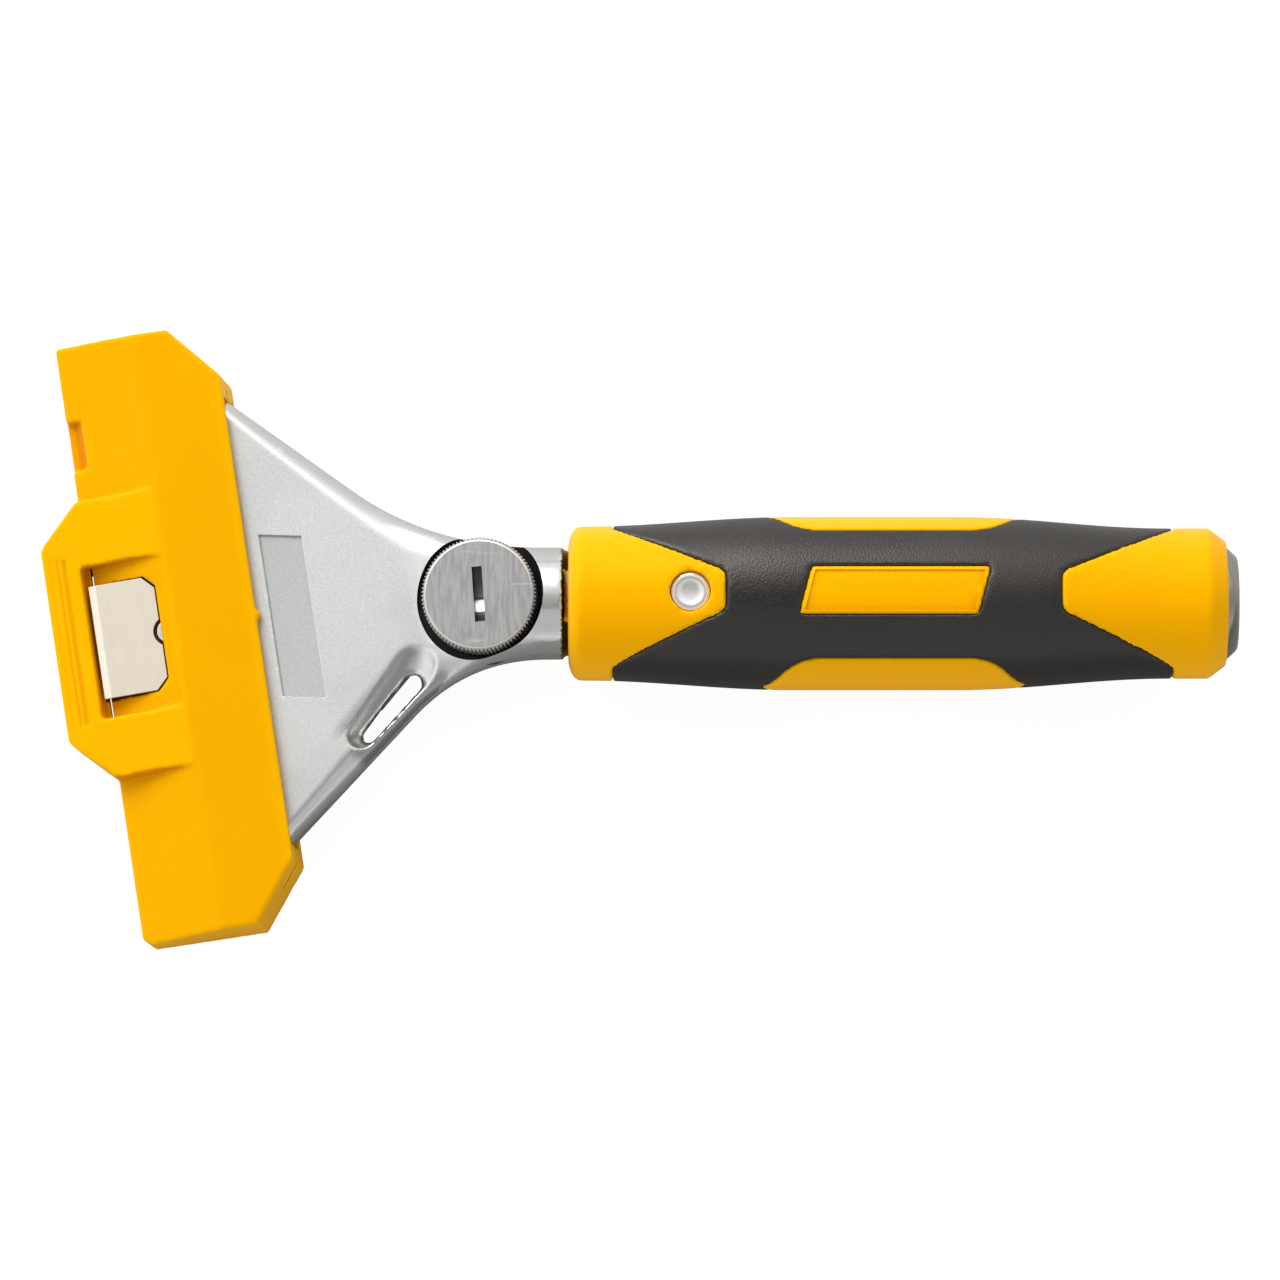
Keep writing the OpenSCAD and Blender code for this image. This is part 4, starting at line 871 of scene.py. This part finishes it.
def gripWindows():
    long, root, tip, bend = h["tongue"]
    inset, flare = h["tongueFoot"]
    bends = (0, 0, h["root"], bend)
    tongues = []
    for x, way in ((h["gripFrom"], 1), (h["gripTo"], -1)):
        foot = x - inset * way
        side = [(x - way, root / 2 + flare), (foot, root / 2 + flare), (foot, root / 2)]
        side.append((x + way * long, tip / 2))
        tongues.append(rounded(side + [(x, -y) for x, y in side[::-1]], bends + bends[::-1]))
    long, run, tall, bend = h["strip"]
    corners = ((-long, 0), (-run, tall), (run, tall), (long, 0), (run, -tall), (-run, -tall))
    strip = rounded([(h["panelAt"] + x / 2, y / 2) for x, y in corners], (0, bend, bend, 0, bend, bend))
    cutters = [handleWindow(strip, 90), handleWindow(strip, -90)]
    for plan in tongues + [panelPlan(0)]:
        cutters.append(handleWindow(plan, 0))
        cutters.append(handleWindow([(x, -y) for x, y in plan], 180))
    return cutters


def gripShell(name, over):
    low, high = h["gripFrom"], h["gripTo"]
    outline = handleRun(low, high, -over) + handleRun(low, high, h["gripThick"])[::-1]
    shell = spunPiece(name, outline, h["steps"], handlePlace)
    cutAway(shell, *gripWindows())
    return shell


chamferAt = h["end"] - h["chamfer"]
outline = [(h["spigotRoom"][0], h["start"])]
for x, r in arc(0, 0, 1, 180, 90):
    outline.append((h["frontRadius"] - h["frontTall"] * (1 - r), h["start"] + h["frontRound"] * (1 + x)))
outline += handleRun(h["start"] + h["frontRound"], chamferAt)[1:] + [(h["rearFace"], h["end"])]
level = h["end"]
for room, foot in (h["capRoom"], h["stemRoom"], (h["rodRoom"], h["spigotRoom"][1])):
    outline += [(room, level), (room, foot)]
    level = foot
outline.append(h["spigotRoom"])
core = spunPiece("handleCore", outline, h["steps"], handlePlace)
seat = rivetTop - rivetLook["thick"]
headRoom = rivetLook["radius"] + rivetLook["room"]
cutAway(core, gripShell("gripRoom", h["gripOver"]), roundBar(headRoom, seat, beyond, rivetPlace),
        roundBar(headRoom, -beyond, -seat, rivetPlace),
        roundBar(rivetLook["tube"], -beyond, beyond, rivetPlace, sides=48))
soften(core, h["voxel"], h["rounds"])
low, high = h["sunkSpan"]
floorOutline = [(0, low)] + handleRun(low, high, h["sunk"]) + [(0, high)]
for turn, side in ((0, 1), (180, -1)):  # panels sunk inside their borders
    sink = handleWindow([(x, side * y) for x, y in panelPlan(h["panelRim"])], turn)
    combine(sink, spunPiece("panelFloor", floorOutline, h["steps"], handlePlace), "DIFFERENCE")
    cutAway(core, sink)
smoothByAngle(core, 40)
finished(core, "handle_and_head", "handle_plastic", handleYellow, "handle_core")
sleeve = gripShell("softGrip", 0.0)
soften(sleeve, h["voxel"], h["rounds"])
finished(sleeve, "handle_and_head", "grip_rubber", gripBlack, "grip_sleeve")

# clamp knob: knurled drum, bevelled face and a slot for a coin
knobLook = {"radius": 10.8, "knurl": 0.35, "teeth": 90, "taper": (0.3, 0.965), "under": 4.8,
            "shoulder": 10.55, "top": 11.2, "face": 10.35, "faceFoot": 1, "bevel": 0.45,
            "slot": (10.4, 1.9, 2.9), "slotTurn": -5.0}
knob = roundBar(knobLook["radius"], knobLook["under"], knobLook["shoulder"], Matrix.Identity(4),
                sides=2 * knobLook["teeth"])
newPiece("clampKnob")
choose(knob, "VERT", lambda v: round(math.atan2(v.co.y, v.co.x) / math.pi * knobLook["teeth"]) % 2 == 1)
small = 1 - knobLook["knurl"] / knobLook["radius"]
bpy.ops.transform.resize(value=(small, small, 1), center_override=(0, 0, 0))
shutMesh()
choose(knob, "FACE", lambda f: f.normal.z > 0.9)
rise, narrow = knobLook["taper"]  # tapered tops of the teeth
bpy.ops.mesh.extrude_region_move(TRANSFORM_OT_translate={"value": (0, 0, rise * mm)})
bpy.ops.transform.resize(value=(narrow, narrow, 1), center_override=(0, 0, 0))
shutMesh()
faceFoot = knobLook["shoulder"] - knobLook["faceFoot"]
face = roundBar(knobLook["face"], faceFoot, knobLook["top"], Matrix.Identity(4), sides=128)
faceTop = (knobLook["top"] - 0.01) * mm
choose(face, "EDGE", lambda e: all(face.data.vertices[i].co.z > faceTop for i in e.vertices))
bpy.ops.mesh.bevel(offset=knobLook["bevel"] * mm, segments=4, profile=0.5, affect="EDGES")
shutMesh()
combine(knob, face, "UNION")
long, wide, deep = knobLook["slot"]
coinRadius = (long * long / 4 + deep * deep) / (2 * deep)
coinMiddle = Matrix.Translation(inMm(0, 0, knobLook["top"] - deep + coinRadius))
coinPlace = turnBy(knobLook["slotTurn"], "Z") @ coinMiddle @ turnBy(90, "Y")
cutAway(knob, roundBar(coinRadius, -wide / 2, wide / 2, coinPlace, sides=128))

# values for the knob's finish, in mm: painted light and shade along the slot, painted shade on the rim,
# painted highlights on the teeth and bevel
knobMarks = {"slotUnder": 0.05, "slotPad": 0.01, "light": (-3.0, -0.7), "dark": 0.85, "middle": 0.5,
             "fade": 2.5, "rim": (10.4, 10.5), "rimShade": 0.6, "teeth": 10.7, "teethTop": (10.3, 0.1),
             "teethHighlight": 0.9, "bevelPad": 0.05, "bevelHighlight": 0.6}


def knobSpot(v):
    # how far out the point lies, its height, and its place along the coin slot (None outside the slot)
    p = coinPlace.inverted() @ v.co / mm
    out, level = math.hypot(v.co.x, v.co.y) / mm, v.co.z / mm
    inWidth = abs(p.z) < wide / 2 + knobMarks["slotPad"] and out < long / 2
    inSlot = inWidth and level < knobLook["top"] - knobMarks["slotUnder"]
    return out, level, p.y if inSlot else None


# painted shade: dark along the slot but for a light patch, and on the rim
def knobShade(v):
    look = knobMarks
    out, _, along = knobSpot(v)
    if along is None:
        return look["rimShade"] if within(out, look["rim"]) else 0.0
    if within(along, look["light"]):
        return 0.0
    return look["dark"] if along < 0 else mixed(look["middle"], look["dark"], eased(along / look["fade"]))


# painted highlight: a bright patch in the slot, on the teeth and on the bevel
def knobPaintedLight(v):
    look = knobMarks
    out, level, along = knobSpot(v)
    if along is not None:
        return 1.0 if within(along, look["light"]) else 0.0
    topOut, topOver = look["teethTop"]
    if out > look["teeth"] or (out > topOut and level > knobLook["shoulder"] + topOver):
        return look["teethHighlight"]
    onBevel = out > knobLook["face"] - knobLook["bevel"] + look["bevelPad"] and level > knobLook["shoulder"]
    return look["bevelHighlight"] if onBevel else 0.0


mark(knob, "deep", knobShade)
mark(knob, "tone", knobPaintedLight)
settle(knob, headPlace)
smoothByAngle(knob, 30)
finishWith(knob, "WEIGHTED_NORMAL", weight=100, keep_sharp=True)
finished(knob, "clamp_screw", "knob_metal", knobSatin, "clamp_knob")

# rivet: dished bright head, the same form on the underside
r, t = rivetLook["radius"], rivetLook["thick"]
outline = [(out, rivetTop - down) for out, down in rivetLook["dish"]]
outline += [(r - inset, rivetTop - down) for inset, down in rivetLook["edge"]]
outline += [(r, rivetTop - t), (0, rivetTop - t)]
rivet = spunPiece("handleRivet", outline, 64, rivetPlace)
smoothByAngle(rivet, 40)
finished(rivet, "handle_and_head", "rivet_metal", rivetBright, "handle_rivet")
rivetBack = newObject("handleRivetBack", rivet.data.copy())
flip = toolPlace @ turnBy(180, "X") @ toolPlace.inverted()
settle(rivetBack, flip)
finished(rivetBack, "handle_and_head", "rivet_metal", rivetBright, "rivet_cap")

# striking cap with a crowned face; its lip lies beside the handle's end, its crown under the cap's end
capLook = {"seat": 133.4, "flush": 138.4, "end": capEnd, "radius": 10.5, "face": 8.7, "stem": 7.0,
           "stemFront": 117.4, "lip": ((0, -0.2), (-0.15, 0.15)),
           "crown": ((0.35, -0.62), (0, -0.34), (-0.5, -0.16), (-1.4, -0.08), (-4, -0.02))}
c = capLook
outline = [(0, c["stemFront"]), (c["stem"], c["stemFront"]), (c["stem"], c["seat"]), (c["radius"], c["seat"])]
outline += [(c["radius"] + out, c["flush"] + rise) for out, rise in c["lip"]]
outline += [(c["face"] + out, c["end"] + rise) for out, rise in c["crown"]]
outline.append((0, c["end"]))
cap = spunPiece("strikeCap", outline, 96, handlePlace)
smoothByAngle(cap, 30)
finished(cap, "handle_and_head", "cap_metal", capTurned, "strike_cap")

# nodes that keep their own shape, with broken edges
keptLook = {"flatAngle": 1, "edgeAngle": 35, "segments": 2}
keptNodes = {"scraper_blade": (bladeSteel, 0.04), "mini_blade": (spareSteel, 0.06),
             "mini_blade_peg": (rivetBright, 0.25), "clamp_plate": (plateSteel, 0.3),
             "clamp_nut": (plainSteel, 0.25), "clamp_stud": (plainSteel, 0.2),
             "screw_washer": (plainSteel, 0.1), "retaining_ring": (plainSteel, 0.1),
             "locating_pins": (plainSteel, 0.2), "core_rod": (plainSteel, 0.3),
             "cap_washer": (plainSteel, 0.1)}
for node, (material, bevel) in keptNodes.items():
    kept = frame["nodes"][node]
    addStep(kept, "WELD", merge_threshold=cadMerge * mm)
    addStep(kept, "DECIMATE", decimate_type="DISSOLVE", angle_limit=math.radians(keptLook["flatAngle"]))
    addStep(kept, "BEVEL", width=bevel * mm, segments=keptLook["segments"], limit_method="ANGLE",
            angle_limit=math.radians(keptLook["edgeAngle"]))
    kept.data.materials.clear()
    kept.data.materials.append(material)
print("kept nodes dressed:", len(keptNodes))

# pale floor that stays white behind the tool and keeps its shadow
floorLook = {"size": 6.0, "colour": (0.9, 0.9, 0.9, 1), "fibre": (0.91, 0.91, 0.91, 1), "fibreScale": 300.0,
             "mirrored": ((0.27, 0.27, 0.27, 1), (0.7, 0.7, 0.7, 1)), "change": (-0.05, 0.06), "white": 1.1,
             "share": 0.85}
pickOnly(casting)
bpy.ops.object.select_all(action="DESELECT")
bpy.ops.mesh.primitive_plane_add(size=floorLook["size"])
floor = newPiece("studioFloor")
paper = bpy.data.materials.new("studioPaper")
paper.use_nodes = True
tree = paper.node_tree
tree.nodes.clear()
at = putNode(tree, "TexCoord").outputs["Object"]
fibre = noise(tree, at, floorLook["fibreScale"], 3.0)
tone = mixColours(tree, fibre, floorLook["colour"], floorLook["fibre"])
rays = putNode(tree, "LightPath").outputs
northing = putNode(tree, "SeparateXYZ", {0: at}).outputs["Y"]
mirrored = mixColours(tree, spread(tree, northing, *floorLook["change"]), *floorLook["mirrored"])
tone = mixColours(tree, rays["Is Glossy Ray"], tone, mirrored)
matt = putNode(tree, "BsdfDiffuse", {"Color": tone})
direct = sums(tree, "MAXIMUM", rays["Is Camera Ray"], rays["Is Transmission Ray"])
seen = sums(tree, "MULTIPLY", direct, floorLook["share"])
glow = putNode(tree, "Emission", {"Strength": floorLook["white"]})
both = putNode(tree, "MixShader", {0: seen, 1: matt.outputs[0], 2: glow.outputs[0]})
putNode(tree, "OutputMaterial", {"Surface": both.outputs[0]})
floor.data.materials.append(paper)
floor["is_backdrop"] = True

# studio: plain level with glows to the north, to the west and low in the south, and a darker spot overhead
# each zone has its strength, then an axis and the two ends of a fade along it
skyLevel = 0.56
skyZones = {"west": (0.5, ("X", -0.25, -0.7), ("Z", 0.1, 0.35)),
            "north": (0.45, ("Y", 0.1, 0.55), ("Z", -0.02, 0.2)),
            "south": (0.05, ("Y", -0.1, -0.42), ("Z", 0.25, 0.5)),
            "zenith": (-0.46, ("Z", 0.945, 0.975)),
            "horizon": (0.3, ("Y", 0.0, -0.4), ("Z", 0.4, 0.15))}
sky = bpy.data.worlds.new("studioSky")
bpy.context.scene.world = sky
sky.use_nodes = True
tree = sky.node_tree
ways = putNode(tree, "SeparateXYZ", {0: putNode(tree, "TexCoord").outputs["Generated"]}).outputs
level = skyLevel
for strength, *fades in skyZones.values():
    share = strength
    for axis, start, stop in fades:
        share = sums(tree, "MULTIPLY", share, spread(tree, ways[axis], start, stop))
    level = sums(tree, "ADD", level, share)
tree.nodes["Background"].inputs["Color"].default_value = (1, 1, 1, 1)
tree.links.new(level, tree.nodes["Background"].inputs["Strength"])

lampLook = {"name": "northSoftbox", "at": (-0.5, 1.0, 0.78), "target": (0, 0, 0.01), "size": 0.9,
            "power": 12.5}
light = bpy.data.lights.new(lampLook["name"], "AREA")
light.size = lampLook["size"]
light.energy = lampLook["power"]
lamp = newObject(lampLook["name"], light)
lamp.location = lampLook["at"]
lampWay = Vector(lampLook["target"]) - Vector(lampLook["at"])
lamp.rotation_euler = lampWay.to_track_quat("-Z", "Y").to_euler()

# camera: nearly overhead, long lens
shot = {"elevation": 80.57, "distance": 2.01, "lens": 302.5, "sensor": 36, "farthest": 20,
        "target": (35.0, 0, 0), "across": -6.148, "up": -6.8}
e = math.radians(shot["elevation"])
back = Vector((0, -math.cos(e), math.sin(e)))
right, up = Vector((1, 0, 0)), Vector((0, math.sin(e), math.cos(e)))
aim = toolPlace @ (Vector(shot["target"]) * mm) + right * shot["across"] * mm + up * shot["up"] * mm
cameraData = bpy.data.cameras.new("shotCamera")
cameraData.sensor_width = shot["sensor"]
cameraData.lens = shot["lens"]
cameraData.clip_end = shot["farthest"]
camera = newObject("shotCamera", cameraData)
camera.location = aim + back * shot["distance"]
camera.rotation_euler = (-back).to_track_quat("-Z", "Y").to_euler()
bpy.context.scene.camera = camera
bpy.context.scene.view_settings.view_transform = "Standard"
print("studio ready")

low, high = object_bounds()
